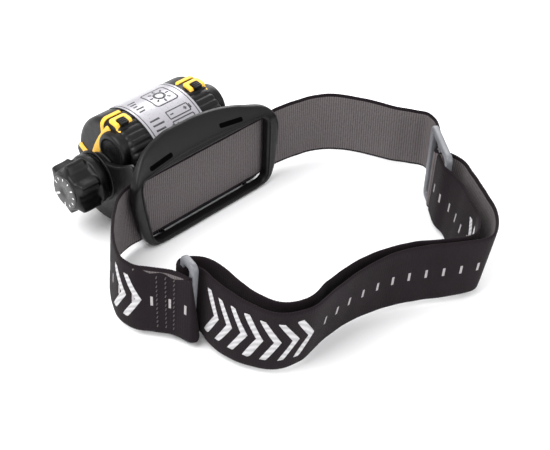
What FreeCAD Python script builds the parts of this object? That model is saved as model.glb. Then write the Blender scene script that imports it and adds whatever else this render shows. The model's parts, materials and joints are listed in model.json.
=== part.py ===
import FreeCAD, Part
import math
import os

from FreeCAD import Vector, Rotation, Placement

# Two-cell work headlamp on an elastic headband, standing on the edge of its strap.
# Millimetres. +X along the lamp's tilt axis, away from the selector knob.
# +Y is the way the lamp shines, +Z is up. The wearer's head is on the -Y side.

# ---------------------------------------------------------------- driving sizes
ORIGIN_X = -2.4            # middle of the bounding box in the layout's own X
ORIGIN_Y = -2.4            # the same in Y
RUN = 0.05                 # radial running clearance of every pivot
GAP = 0.3                  # gap between pieces that pass each other

STRAP_W = 30.0             # webbing width
STRAP_T = 1.4              # webbing thickness
STRAP_Z = 3.0              # lower edge of the webbing above the ground

LAMP_X = -15.5             # middle of the lamp along its axis
BODY_R = 22.4              # lamp body radius about the tilt axis
BODY_CLEAR = 1.1           # between the lamp body and the bracket's plate
FOOT_CLEAR = 0.4           # between the lamp body and the ground
BOSS_PROUD = 3.35          # how far the cell bosses stand out of the end walls
WALL = 1.8                 # moulded wall
NOSE_WALL = 3.0            # the nose's front wall
SEAM_AHEAD = 3.0           # how far the shells' joint is in front of the tilt axis
TRIM_T = 1.2               # thickness of the seam trim, along Y
NOSE_TIP = 30.0            # degrees that the nose and its lens look down
NOSE_PROUD = 0.6           # how far the nose's front stands out of the barrel
NOSE_HALF_H = 12.5         # half height of the nose
NOSE_ROUND = 3.5           # its rounded front edges

CELL_R = 7.25              # AA cell
CELL_L = 50.5
CELL_PLAY = 0.35           # radial play of a cell in its bore
CELL_SPACE = 23.8          # distance between the two cells
CELL_BACK = 5.4            # how far the cells sit behind the tilt axis
SPRING_L = 2.6             # compressed contact spring
PLATE_T = 0.8              # contact plate
BOSS_WALL = 1.2            # round and behind a cell's bore

TRUNNION_R = 6.0           # the two pivots of the lamp
SHAFT_R = 2.5              # selector shaft
WASHER_T = 0.8
ARM_T = 3.0                # yoke arm
KNOB_R = 9.0
KNOB_L = 14.6
KNOB_LOBES = 6
LOBE_R = 2.6

FRAME_X = -12.2            # middle of the forehead frame
FRAME_W = 82.5
FRAME_RISE = 8.0           # how far the frame stands above the webbing's width
FRAME_BACK_Y = 25.5        # the face that meets the forehead
FRAME_T = 4.6
RAIL_W = 8.5               # the frame's width on each side of its window
WINDOW_Z0 = 4.0
WINDOW_LAP = 1.5           # how much lower than the webbing the window is
HOOD_RISE = 9.0            # how far the hood stands above the frame
HOOD_REACH = 7.0           # and how far it leans forward
PLATE_THICK = 1.4
PLATE_WING = 6.0           # how far the bracket's plate runs past the plain arm

SLIDER_PLAY = 1.4          # of the webbing in a buckle's opening
SLIDER_W = 26.0
SLIDER_T = 3.0
RING_W = 10.0
BAR = 3.0

HINGE_R = 2.3              # cover hinge knuckle
HINGE_PIN_R = 0.8
HINGE_SWEEP = 4.2          # room the cover's lip needs round the hinge
KNUCKLE_SPAN = 16.0        # the knuckles reach this far to each side of the lamp's middle
KNUCKLE_SPLIT = 9.7        # half length of the middle knuckle

POST_R = 1.1               # posts between the frame and the bracket
POST_CLEAR = 0.4           # between a post and the edge of the webbing
POST_SPREAD = 24.0         # half the distance between the posts
HOOK_X = 20.0              # latch hooks, each side of the lamp's middle
HOOK_W = 4.4
HOOK_L = 4.4
SCREW_X = 19.0             # bezel screws, each side of the lens's middle
SCREW_Z = 6.8
SCREW_R = 1.3
ARM_DROP = 19.5            # how far an arm's lower edge is under the tilt axis
ARM_CLEAR = 0.2            # between an arm and its friction washer
CAP_R = 8.0                # cap over the plain pivot
CAP_T = 1.6
CAP_SCREW_R = 1.5

# ---------------------------------------------------------------- places that follow from the sizes
FRAME_H = STRAP_W + FRAME_RISE
WINDOW_W = FRAME_W - 2 * RAIL_W
WINDOW_H = STRAP_W - WINDOW_LAP
SLIDER_H = STRAP_W + SLIDER_PLAY + 2 * BAR
FRAME_LEFT = FRAME_X - FRAME_W / 2
FRAME_RIGHT = FRAME_X + FRAME_W / 2
STRAP_Y = FRAME_BACK_Y + FRAME_T + GAP + STRAP_T / 2
PLATE_Y = FRAME_BACK_Y + FRAME_T + STRAP_T + 2 * GAP
AXIS_Y = PLATE_Y + PLATE_THICK + BODY_CLEAR + BODY_R
AXIS_Z = BODY_R + FOOT_CLEAR
SEAM_Y = AXIS_Y + SEAM_AHEAD
FRONT_Y = AXIS_Y + BODY_R + NOSE_PROUD
TONGUE_Z = AXIS_Z + BODY_R - 6.4
HINGE_Y = SEAM_Y + 1.5
HINGE_Z = AXIS_Z - BODY_R + 2.9
CELL_Y = AXIS_Y - CELL_BACK
CELL_ZS = (AXIS_Z + CELL_SPACE / 2, AXIS_Z - CELL_SPACE / 2)
BORE_R = CELL_R + CELL_PLAY
BORE_HALF = (CELL_L + SPRING_L + PLATE_T) / 2 + 0.2
BOSS_R = BORE_R + BOSS_WALL
BOSS_HALF = BORE_HALF + BOSS_WALL
BODY_HALF = BOSS_HALF - BOSS_PROUD
ARM_RIGHT = LAMP_X + BOSS_HALF + WASHER_T + 2 * ARM_CLEAR
ARM_LEFT = 2 * LAMP_X - ARM_RIGHT - ARM_T

X = Vector(1, 0, 0)
Y = Vector(0, 1, 0)
Z = Vector(0, 0, 1)


# ---------------------------------------------------------------- helpers
def box(x0, x1, y0, y1, z0, z1):
    return Part.makeBox(x1 - x0, y1 - y0, z1 - z0, Vector(x0, y0, z0))


def rod_x(r, x0, x1, y, z):
    return Part.makeCylinder(r, x1 - x0, Vector(x0, y, z), X)


def ring_x(r_in, r_out, x0, x1, y, z):
    return rod_x(r_out, x0, x1, y, z).cut(rod_x(r_in, x0 - 1, x1 + 1, y, z))


def rod_y(r, y0, y1, x, z):
    return Part.makeCylinder(r, y1 - y0, Vector(x, y0, z), Y)


def fuse(shapes):
    return shapes[0].multiFuse(shapes[1:]).removeSplitter()


def prism(points, along, length):
    wire = Part.makePolygon([Vector(*p) for p in points] + [Vector(*points[0])])
    return Part.Face(wire).extrude(along * length)


def edge_pair(route, side, z):
    """Two smooth edges of the webbing, one per face, at the top (side 1) or the bottom (side -1)."""
    faces = []
    for sign in (-0.5, 0.5):
        line = []
        for i, (px, py, lean) in enumerate(route):
            ax, ay, _ = route[max(i - 1, 0)]
            bx, by, _ = route[min(i + 1, len(route) - 1)]
            run = math.hypot(bx - ax, by - ay)
            off = side * lean / 2 + sign * STRAP_T
            line.append(Vector(px + off * (by - ay) / run, py - off * (bx - ax) / run, z))
        faces.append(line)
    curves = []
    for line in faces:
        curve = Part.BSplineCurve()
        curve.interpolate(line)
        curves.append(curve.toShape())
    return faces, curves


def strip(route, z0=STRAP_Z, height=STRAP_W):
    """Webbing on edge along (x, y, lean) points: lean is how far its top stands further out."""
    wires = []
    for side, z in ((-1, z0), (1, z0 + height)):
        faces, curves = edge_pair(route, side, z)
        ends = [Part.makeLine(faces[0][k], faces[1][k]) for k in (0, -1)]
        wires.append(Part.Wire(Part.__sortEdges__([curves[0], ends[1], curves[1], ends[0]])))
    return Part.makeLoft(wires, True, True)


def save(name, shape):
    shape.translate(Vector(-ORIGIN_X, -ORIGIN_Y, 0))
    shape.exportStep("parts/" + name + ".step")


# ---------------------------------------------------------------- headband
# The strap is one length of webbing. It is cut here where it enters the frame
# and the sliders, so that each stretch is a plain solid.
# Each point is x, y and how far the upper edge leans outward. All runs go round the
# loop the same way, with the outside on their right.
LEFT_RUN = [(FRAME_LEFT + 6, STRAP_Y, 0), (FRAME_LEFT, STRAP_Y, 0), (-58.5, 29.6, -1), (-66, 24, -2),
            (-73, 16.5, -2.5), (-78.5, 8.5, -2.5), (-81.8, 1, -2.5), (-81.5, -6, -2.5), (-77.5, -12.5, -2.5),
            (-73, -19, -2.5), (-71.7, -23, -2.5), (-71.3, -26.2, -2.5)]
FAR_RUN = [(70.5, -27, 0), (75.5, -22, -1), (77.5, -16.5, -2), (75, -11, -2), (70.5, -3, -1.5), (67, 6, -1),
           (63, 14.5, -1), (57.5, 22, 0), (50, 27, 0), (42, 29.4, 0), (FRAME_RIGHT + 3, STRAP_Y, 0),
           (FRAME_RIGHT - 6, STRAP_Y, 0)]
REAR_OUTER = [(-64.6, -25.5, -2), (-65.8, -32, -3), (-66, -41, -3), (-64.2, -51, -1), (-59.5, -60, 2),
              (-50, -64.6, 4.5), (-36, -63.4, 5.5), (-20, -63.5, 4.8), (-6, -66.4, 3), (7, -72.6, 2.5),
              (18.5, -80.3, 3), (29, -84.8, 4), (38.5, -79.5, 4.5), (47, -67.6, 4.5), (54, -56, 4),
              (58.4, -47.4, 3), (58.9, -42, 1.5)]
REAR_INNER = [(-58.2, -25.5, -1.5), (-58.8, -32, -2.5), (-59.6, -41, -2.5), (-58.6, -50, -1),
              (-54.4, -57.4, 2), (-47, -60.6, 4), (-35, -58.9, 5), (-21, -58.9, 4.5), (-8, -62, 3),
              (4.5, -67.6, 2.5), (16, -75.4, 3), (25, -79.6, 4), (33, -75.2, 4), (39.5, -66, 4),
              (45.5, -57.5, 3)]
TURN_RUN = [(-58.3, -25.1, 1.5), (-59.6, -20.5, 1.0), (-63, -16.5, 0), (-66.4, -15.4, -0.5),
            (-68.6, -17, -1), (-68, -20, -1.5), (-65.2, -22.6, -1.7), (-64.4, -24.8, -2)]
RETURN_RUN = [(-79.7, -5.4, -2.5), (-75.9, -11.6, -2.5), (-71.5, -18, -2.5)]


def strap_left_run():
    return strip(LEFT_RUN)


def strap_window_run():
    return box(FRAME_LEFT + 6, FRAME_RIGHT - 6, STRAP_Y - STRAP_T / 2, STRAP_Y + STRAP_T / 2,
               STRAP_Z, STRAP_Z + STRAP_W)


def strap_far_run():
    return strip(FAR_RUN)


def strap_rear_outer():
    return strip(REAR_OUTER)


def strap_rear_inner():
    return strip(REAR_INNER)


def strap_left_return():
    """Sewn end that comes back along the inside from the left slider."""
    return strip(RETURN_RUN)


def strap_rear_turn():
    """The webbing's turn round the ring's inner bar."""
    return strip(TURN_RUN)


def buckle(width, bars):
    """Plate with evenly spaced upright bars, standing on its end, centred on the Z axis."""
    plate = box(-width / 2, width / 2, -SLIDER_T / 2, SLIDER_T / 2, -SLIDER_H / 2, SLIDER_H / 2)
    corners = [e for e in plate.Edges if abs(e.Length - SLIDER_T) < 1e-6]
    plate = plate.makeFillet(min(2.6, width / 3), corners)
    opening = (width - bars * BAR) / (bars - 1)
    for i in range(bars - 1):
        x0 = -width / 2 + BAR + i * (opening + BAR)
        plate = plate.cut(box(x0, x0 + opening, -SLIDER_T, SLIDER_T, BAR - SLIDER_H / 2, SLIDER_H / 2 - BAR))
    return plate


def stood(shape, x, y, heading, lean):
    """Turn a buckle to a heading, lean it about its run and stand it on the ground."""
    turn = Placement(Vector(x, y, 0), Rotation(Z, heading) * Rotation(X, lean))
    shape.Placement = turn * shape.Placement
    shape.translate(Vector(0, 0, -shape.BoundBox.ZMin))
    return shape


def ring_left():
    """Rectangular ring: the front strap is sewn round one bar, the rear strap turns round the other."""
    return stood(buckle(RING_W, 2), -68.4, -22.0, 77.0, 5.0)


def slider_right():
    """Three-bar slider that sets the strap's length."""
    return stood(buckle(SLIDER_W, 3), 59.0, -38.0, 53.0, 0.0)


# ---------------------------------------------------------------- forehead frame and bracket
def frame_outline():
    """Front view of the frame: flat foot, rounded corners and an arched top, as a prism along Y."""
    r = 9.0
    k = r * (1 - math.sqrt(0.5))
    left = FRAME_LEFT
    right = FRAME_RIGHT
    z_right = FRAME_H - 9.0
    top = FRAME_H + HOOD_RISE
    p = [Vector(left, 0, r), Vector(left + k, 0, k), Vector(left + r, 0, 0), Vector(right - r, 0, 0),
         Vector(right - k, 0, k), Vector(right, 0, r), Vector(right, 0, z_right)]
    arch = [Vector(right, 0, z_right), Vector(right - 4.5, 0, z_right + 7.5),
            Vector(right - 17, 0, top - 5.0),
            Vector(FRAME_X - 2, 0, top), Vector(left + 22, 0, top - 0.6), Vector(left + 8.5, 0, top - 5.0),
            Vector(left + 1.5, 0, top - 13.0), Vector(left, 0, top - 20.0)]
    curve = Part.BSplineCurve()
    curve.interpolate(arch)
    edges = [Part.Arc(p[0], p[1], p[2]).toShape(), Part.makeLine(p[2], p[3]),
             Part.Arc(p[3], p[4], p[5]).toShape(), Part.makeLine(p[5], p[6]), curve.toShape(),
             Part.makeLine(arch[-1], p[0])]
    face = Part.Face(Part.Wire(edges))
    face.translate(Y * (FRAME_BACK_Y - 5))
    return face.extrude(Y * 40)


def forehead_frame():
    """Rounded frame round the strap, with a hood that leans over the lamp."""
    back = FRAME_BACK_Y
    front = FRAME_BACK_Y + FRAME_T
    tip = front + HOOD_REACH
    z0 = WINDOW_Z0 + WINDOW_H + 1.0
    lean_z = STRAP_Z + STRAP_W + POST_CLEAR + 2 * POST_R + GAP
    z1 = FRAME_H + HOOD_RISE
    x0 = FRAME_LEFT - 1
    section = [(x0, back, -1), (x0, front, -1), (x0, front, lean_z), (x0, tip, z1 - 2.2),
               (x0, tip - 1.2, z1 + 1), (x0, back + 0.8, z0 + 2.5), (x0, back, z0)]
    body = prism(section, X, FRAME_W + 2).common(frame_outline())
    window = box(FRAME_X - WINDOW_W / 2, FRAME_X + WINDOW_W / 2, back - 1, front + 1,
                 WINDOW_Z0, WINDOW_Z0 + WINDOW_H)
    return body.cut(window)


def arm(x0):
    """Cradle-shaped yoke arm: a disc round the pivot that runs back into the plate."""
    back_y = PLATE_Y
    low = AXIS_Z - ARM_DROP
    outline = [(x0, back_y, low + 2), (x0, back_y, FRAME_H), (x0, AXIS_Y - 16.0, FRAME_H - 2.5),
               (x0, AXIS_Y - 8.0, low + 28.7),
               (x0, AXIS_Y + 5.0, low + 27.1), (x0, AXIS_Y + 13.0, low + 23.1),
               (x0, AXIS_Y + 18.0, low + 17.2),
               (x0, AXIS_Y + 14.0, low + 6.5), (x0, AXIS_Y + 5.0, low), (x0, AXIS_Y - 12.0, low)]
    blank = prism(outline, X, ARM_T)
    return blank.cut(rod_x(TRUNNION_R + RUN, x0 - 1, x0 + ARM_T + 1, AXIS_Y, AXIS_Z))


def bracket():
    """Front plate behind the strap with the two yoke arms."""
    plate = box(ARM_LEFT + 0.6, ARM_RIGHT + ARM_T + PLATE_WING, PLATE_Y, PLATE_Y + PLATE_THICK,
                FOOT_CLEAR, FRAME_H - 2)
    lightening = box(LAMP_X - 20, LAMP_X + 20, PLATE_Y - 1, PLATE_Y + PLATE_THICK + 1, 9.0, FRAME_H - 10)
    return fuse([plate.cut(lightening), arm(ARM_LEFT), arm(ARM_RIGHT)])


def frame_posts():
    """Four riveted posts that hold the bracket to the frame, above and below the strap."""
    y0 = FRAME_BACK_Y + FRAME_T
    posts = []
    for x in (FRAME_X - POST_SPREAD, FRAME_X + POST_SPREAD):
        for z in (STRAP_Z - POST_R - POST_CLEAR, STRAP_Z + STRAP_W + POST_R + POST_CLEAR):
            posts.append(rod_y(POST_R, y0, PLATE_Y, x, z))
    return Part.makeCompound(posts)


# ---------------------------------------------------------------- lamp body
def tipped(shape):
    """Turn a piece of the nose down about the tilt axis."""
    return shape.rotated(Vector(0, AXIS_Y, AXIS_Z), X, -NOSE_TIP)


def body_outer():
    barrel = rod_x(BODY_R, LAMP_X - BODY_HALF, LAMP_X + BODY_HALF, AXIS_Y, AXIS_Z)
    nose = box(LAMP_X - BODY_HALF, LAMP_X + BODY_HALF, AXIS_Y, FRONT_Y,
               AXIS_Z - NOSE_HALF_H, AXIS_Z + NOSE_HALF_H)
    front = [e for e in nose.Edges if e.BoundBox.YMin > FRONT_Y - 1e-6]
    nose = tipped(nose.makeFillet(NOSE_ROUND, front))
    bosses = [rod_x(BOSS_R, LAMP_X - BOSS_HALF, LAMP_X + BOSS_HALF, CELL_Y, z) for z in CELL_ZS]
    keep_in = rod_x(BODY_R + 0.4, LAMP_X - 60, LAMP_X + 60, AXIS_Y, AXIS_Z)
    bosses = [b.common(keep_in) for b in bosses]
    return fuse([barrel, nose] + bosses)


def body_cavity():
    barrel = rod_x(BODY_R - WALL, LAMP_X - BODY_HALF + WALL, LAMP_X + BODY_HALF - WALL, AXIS_Y, AXIS_Z)
    nose = tipped(box(LAMP_X - BODY_HALF + WALL, LAMP_X + BODY_HALF - WALL, AXIS_Y, FRONT_Y - NOSE_WALL,
                      AXIS_Z - NOSE_HALF_H + WALL, AXIS_Z + NOSE_HALF_H - WALL))
    bores = [rod_x(BORE_R, LAMP_X - BORE_HALF, LAMP_X + BORE_HALF, CELL_Y, z) for z in CELL_ZS]
    return fuse([barrel, nose] + bores)


TONGUE_HALF = 14.0         # half width of the tongue that carries the label over the seam
TONGUE_Y = AXIS_Y + 11.5


def tongue(clear):
    return box(LAMP_X - TONGUE_HALF - clear, LAMP_X + TONGUE_HALF + clear, AXIS_Y - 30, TONGUE_Y + clear,
               TONGUE_Z - clear, AXIS_Z + BODY_R + 5)


KNUCKLES = [(-KNUCKLE_SPAN, -KNUCKLE_SPLIT - GAP), (-KNUCKLE_SPLIT, KNUCKLE_SPLIT),
            (KNUCKLE_SPLIT + GAP, KNUCKLE_SPAN)]
SEAL_MINOR = 0.7           # O-ring round the selector shaft
SEAL_MAJOR = SHAFT_R + SEAL_MINOR + RUN
SEAL_X = LAMP_X - BODY_HALF - 1.0


def knuckle(span, grow=0.0):
    x0 = LAMP_X + span[0] - grow
    x1 = LAMP_X + span[1] + grow
    return rod_x(HINGE_R + grow, x0, x1, HINGE_Y, HINGE_Z)


def knuckle_room(span):
    """Room in the cover for a rear knuckle and its web."""
    return box(LAMP_X + span[0] - GAP, LAMP_X + span[1] + GAP, SEAM_Y - 1, HINGE_Y + HINGE_R + GAP,
               HINGE_Z - 10, HINGE_Z + HINGE_R + GAP)


def hinge_bore(r):
    return rod_x(r, LAMP_X - 20, LAMP_X + 20, HINGE_Y, HINGE_Z)


def rear_shell():
    """Battery housing with the cell bosses, the pivots, two hinge knuckles and grip ribs."""
    far = 200.0
    behind = box(-far, far, 0, SEAM_Y, -far, far)
    shell = body_outer().common(fuse([behind, tongue(0.0)]))
    pivots = [rod_x(TRUNNION_R, ARM_LEFT - 0.3, LAMP_X - BODY_HALF, AXIS_Y, AXIS_Z),
              rod_x(TRUNNION_R, LAMP_X + BODY_HALF, ARM_RIGHT + ARM_T + 0.3, AXIS_Y, AXIS_Z)]
    shell = fuse([shell] + pivots).cut(body_cavity())
    shell = shell.cut(rod_x(HINGE_SWEEP, LAMP_X - far, LAMP_X + far, HINGE_Y, HINGE_Z))
    web = box(LAMP_X - KNUCKLE_SPAN, LAMP_X - KNUCKLE_SPLIT - GAP, HINGE_Y - HINGE_SWEEP - 2.0, HINGE_Y,
              HINGE_Z - HINGE_R + 0.1, HINGE_Z)
    webs = [web, web.mirror(Vector(LAMP_X, 0, 0), X)]
    shell = fuse([shell] + webs + [knuckle(KNUCKLES[0]), knuckle(KNUCKLES[2])])
    shell = shell.cut(hinge_bore(HINGE_PIN_R))
    shell = shell.cut(rod_x(SHAFT_R + RUN, LAMP_X - far, LAMP_X - BODY_HALF + WALL + 1, AXIS_Y, AXIS_Z))
    shell = shell.cut(rod_x(SEAL_MAJOR + SEAL_MINOR + RUN, SEAL_X - SEAL_MINOR - RUN,
                            SEAL_X + SEAL_MINOR + RUN,
                            AXIS_Y, AXIS_Z))
    return shell.cut(rod_x(CAP_SCREW_R, LAMP_X + BODY_HALF - 3, LAMP_X + far, AXIS_Y, AXIS_Z))


def front_part(y0, y1):
    far = 200.0
    return body_outer().common(box(-far, far, y0, y1, -far, far)).cut(body_cavity())


def seam_trim():
    """Soft coloured seal that lies in the joint between the two shells."""
    ring = front_part(SEAM_Y, SEAM_Y + TRIM_T).cut(tongue(0.2))
    ring = ring.cut(knuckle(KNUCKLES[1], GAP))
    return ring.cut(knuckle_room(KNUCKLES[0])).cut(knuckle_room(KNUCKLES[2]))


LENS_HALF_W = 16.5
LENS_HALF_H = 7.5
LENS_T = 1.8
BEZEL_W = 1.3              # how far the bezel laps over the nose round the lens


def stadium(half_w, half_h, y0, y1):
    core = box(LAMP_X - half_w + half_h, LAMP_X + half_w - half_h, y0, y1, AXIS_Z - half_h, AXIS_Z + half_h)
    ends = [rod_y(half_h, y0, y1, LAMP_X + s * (half_w - half_h), AXIS_Z) for s in (-1, 1)]
    return fuse([core] + ends)


def front_shell():
    """Front cover: nose with the lens opening and the middle hinge knuckle."""
    shell = front_part(SEAM_Y + TRIM_T, FRONT_Y + 1).cut(tongue(0.2))
    shell = shell.cut(knuckle_room(KNUCKLES[0])).cut(knuckle_room(KNUCKLES[2]))
    web = box(LAMP_X - KNUCKLE_SPLIT, LAMP_X + KNUCKLE_SPLIT, HINGE_Y, HINGE_Y + 3.5,
              HINGE_Z - 0.6, HINGE_Z + 1.6)
    shell = fuse([shell, knuckle(KNUCKLES[1]), web]).cut(hinge_bore(HINGE_PIN_R + RUN))
    shell = shell.cut(tipped(stadium(LENS_HALF_W - 1.5, LENS_HALF_H - 1.5, FRONT_Y - 5, FRONT_Y + 1)))
    return shell.cut(tipped(stadium(LENS_HALF_W, LENS_HALF_H, FRONT_Y - LENS_T - 0.4, FRONT_Y + 1)))


def lens_gasket():
    y0 = FRONT_Y - LENS_T - 0.4
    outer = stadium(LENS_HALF_W, LENS_HALF_H, y0, y0 + 0.4)
    return tipped(outer.cut(stadium(LENS_HALF_W - 1.5, LENS_HALF_H - 1.5, y0 - 1, y0 + 1)))


def front_lens():
    return tipped(stadium(LENS_HALF_W - RUN, LENS_HALF_H - RUN, FRONT_Y - LENS_T, FRONT_Y))


def lens_bezel():
    outer = stadium(LENS_HALF_W + BEZEL_W, LENS_HALF_H + BEZEL_W, FRONT_Y, FRONT_Y + 1.2)
    return tipped(outer.cut(stadium(LENS_HALF_W - 1.2, LENS_HALF_H - 1.2, FRONT_Y - 1, FRONT_Y + 2)))


def bezel_screws():
    screws = []
    for sx in (-1, 1):
        for sz in (-1, 1):
            x = LAMP_X + sx * SCREW_X
            z = AXIS_Z + sz * SCREW_Z
            screws.append(tipped(rod_y(SCREW_R, FRONT_Y, FRONT_Y + 0.8, x, z)))
    return Part.makeCompound(screws)


def cover_hinge_pin():
    return rod_x(HINGE_PIN_R, LAMP_X - KNUCKLE_SPAN, LAMP_X + KNUCKLE_SPAN, HINGE_Y, HINGE_Z)


# ---------------------------------------------------------------- light engine
# Built level, in front of the tilt axis, and turned down with the nose.
BOARD_Y = AXIS_Y + 12.4
BOARD_T = 1.6
BOARD_HALF_H = 9.5
LED_Y = BOARD_Y + BOARD_T
SPOT_X = LAMP_X - 6.5
FLOOD_X = LAMP_X + 8.5
NOSE_INSIDE = FRONT_Y - NOSE_WALL
SINK_T = 1.6
FIN_T = 1.2
FINS = 7
FIN_PITCH = 6.0


def heat_sink():
    """Plate behind the board with fins towards the cells."""
    half_w = FIN_PITCH * (FINS - 1) / 2 + 1.0
    plate = box(LAMP_X - half_w, LAMP_X + half_w, BOARD_Y - SINK_T, BOARD_Y, AXIS_Z - 8.5, AXIS_Z + 8.5)
    fins = []
    for i in range(FINS):
        x = LAMP_X + FIN_PITCH * (i - (FINS - 1) / 2) - FIN_T / 2
        fins.append(box(x, x + FIN_T, BOARD_Y - SINK_T - 1.4, BOARD_Y - SINK_T, AXIS_Z - 6, AXIS_Z + 8))
    return tipped(fuse([plate] + fins))


def led_board():
    return tipped(box(LAMP_X - 20, LAMP_X + 20, BOARD_Y, LED_Y, AXIS_Z - BOARD_HALF_H, AXIS_Z + BOARD_HALF_H))


def led_spot():
    base = box(SPOT_X - 1.7, SPOT_X + 1.7, LED_Y, LED_Y + 0.7, AXIS_Z - 1.7, AXIS_Z + 1.7)
    dome = Part.makeSphere(1.3, Vector(SPOT_X, LED_Y + 0.7, AXIS_Z), Y, 0, 90, 360)
    return tipped(fuse([base, dome]))


def led_flood():
    chips = []
    for sz in (-1, 1):
        z = AXIS_Z + sz * 3.0
        chips.append(tipped(box(FLOOD_X - 1.4, FLOOD_X + 1.4, LED_Y, LED_Y + 0.9, z - 1.4, z + 1.4)))
    return Part.makeCompound(chips)


def reflector():
    """Round reflector bowl for the spot light."""
    depth = NOSE_INSIDE - LED_Y
    outer = Part.makeCone(3.4, 7.4, depth, Vector(SPOT_X, LED_Y, AXIS_Z), Y)
    inner = Part.makeCone(2.6, 6.8, depth + 0.02, Vector(SPOT_X, LED_Y - 0.01, AXIS_Z), Y)
    return tipped(outer.cut(inner))


def flood_diffuser():
    y1 = NOSE_INSIDE
    return tipped(box(FLOOD_X - 5.0, FLOOD_X + 5.0, y1 - 1.4, y1, AXIS_Z - 6.5, AXIS_Z + 6.5))


# ---------------------------------------------------------------- power
def cell(z, left_positive):
    """AA cell with its raised positive button."""
    x0 = LAMP_X - CELL_L / 2 + (0.5 * (SPRING_L - PLATE_T) * (-1 if left_positive else 1))
    nub = 1.0
    if left_positive:
        can = rod_x(CELL_R, x0 + nub, x0 + CELL_L, CELL_Y, z)
        button = rod_x(2.6, x0, x0 + nub, CELL_Y, z)
    else:
        can = rod_x(CELL_R, x0, x0 + CELL_L - nub, CELL_Y, z)
        button = rod_x(2.6, x0 + CELL_L - nub, x0 + CELL_L, CELL_Y, z)
    return fuse([can, button])


def contact_plate(z, left_positive):
    x0 = LAMP_X - BORE_HALF if left_positive else LAMP_X + BORE_HALF - PLATE_T
    return rod_x(BORE_R - 1.5, x0, x0 + PLATE_T, CELL_Y, z)


def contact_spring(z, left_positive):
    """Coned negative contact, squeezed flat by its cell."""
    depth = SPRING_L - 0.2
    x0 = LAMP_X + BORE_HALF if left_positive else LAMP_X - BORE_HALF
    way = Vector(-1, 0, 0) if left_positive else X
    outer = Part.makeCone(5.0, 3.2, depth, Vector(x0, CELL_Y, z), way)
    inner = Part.makeCone(4.2, 2.4, depth, Vector(x0, CELL_Y, z), way)
    return outer.cut(inner)


# ---------------------------------------------------------------- pivots, knob and switch
def friction_washer(side):
    face = LAMP_X + side * BOSS_HALF
    a = face + side * 0.1
    b = a + side * WASHER_T
    return ring_x(TRUNNION_R + RUN, TRUNNION_R + 3.0, min(a, b), max(a, b), AXIS_Y, AXIS_Z)


KNOB_X1 = ARM_LEFT - 0.6
KNOB_X0 = KNOB_X1 - KNOB_L


def selector_knob():
    """Round knob with grip lobes, hollow at its inner end."""
    core = rod_x(KNOB_R, KNOB_X0, KNOB_X1, AXIS_Y, AXIS_Z)
    lobes = []
    for i in range(KNOB_LOBES):
        turn = math.radians(360.0 * i / KNOB_LOBES + 30.0)
        y = AXIS_Y + (KNOB_R - 0.6) * math.cos(turn)
        z = AXIS_Z + (KNOB_R - 0.6) * math.sin(turn)
        lobes.append(rod_x(LOBE_R, KNOB_X0 + 0.8, KNOB_X1 - 3.5, y, z))
    solid = fuse([core] + lobes)
    return solid.cut(rod_x(SHAFT_R, KNOB_X0 + 4.0, KNOB_X1 + 1, AXIS_Y, AXIS_Z))


def knob_face():
    return rod_x(KNOB_R - 1.6, KNOB_X0 - 0.6, KNOB_X0, AXIS_Y, AXIS_Z)


SWITCH_X0 = LAMP_X - BODY_HALF + WALL + 0.2
SWITCH_L = 8.0


def selector_shaft():
    return rod_x(SHAFT_R, KNOB_X0 + 4.0, SWITCH_X0 + SWITCH_L - 2.0, AXIS_Y, AXIS_Z)


def shaft_seal():
    return Part.makeTorus(SEAL_MAJOR, SEAL_MINOR, Vector(SEAL_X, AXIS_Y, AXIS_Z), X)


def rotary_switch():
    body = rod_x(5.2, SWITCH_X0, SWITCH_X0 + SWITCH_L, AXIS_Y, AXIS_Z)
    return body.cut(rod_x(SHAFT_R + RUN, SWITCH_X0 - 1, SWITCH_X0 + SWITCH_L - 1.6, AXIS_Y, AXIS_Z))


def pivot_cap():
    x0 = ARM_RIGHT + ARM_T + GAP
    cap = rod_x(CAP_R, x0, x0 + CAP_T, AXIS_Y, AXIS_Z)
    return cap.cut(rod_x(CAP_SCREW_R, x0 - 1, x0 + CAP_T + 1, AXIS_Y, AXIS_Z))


def pivot_screw():
    x0 = ARM_RIGHT + ARM_T + GAP + CAP_T
    shank = rod_x(CAP_SCREW_R, LAMP_X + BODY_HALF - 1.0, x0, AXIS_Y, AXIS_Z)
    head = rod_x(2.8, x0, x0 + 1.4, AXIS_Y, AXIS_Z)
    return fuse([shank, head])


def latch_hooks():
    """Two snap hooks on top of the rear shell that hold the cover shut."""
    hooks = []
    for side in (-1, 1):
        x = LAMP_X + side * HOOK_X
        y = SEAM_Y - HOOK_L - 0.1
        z = AXIS_Z + BODY_R - 1.0
        hook = box(x - HOOK_W / 2, x + HOOK_W / 2, y, y + HOOK_L, z, z + 2.0)
        hooks.append(hook.cut(rod_x(BODY_R, x - 5, x + 5, AXIS_Y, AXIS_Z)))
    return Part.makeCompound(hooks)


def label_plate():
    """Thin label that curves over the top of the rear shell and its tongue."""
    skin = 0.25
    outer = rod_x(BODY_R + skin, LAMP_X - TONGUE_HALF + 0.4, LAMP_X + TONGUE_HALF - 0.4, AXIS_Y, AXIS_Z)
    sheet = outer.cut(rod_x(BODY_R, LAMP_X - 50, LAMP_X + 50, AXIS_Y, AXIS_Z))
    return sheet.common(box(-100, 100, AXIS_Y - 19.5, TONGUE_Y - 0.6, AXIS_Z + 6, 100))


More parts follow.
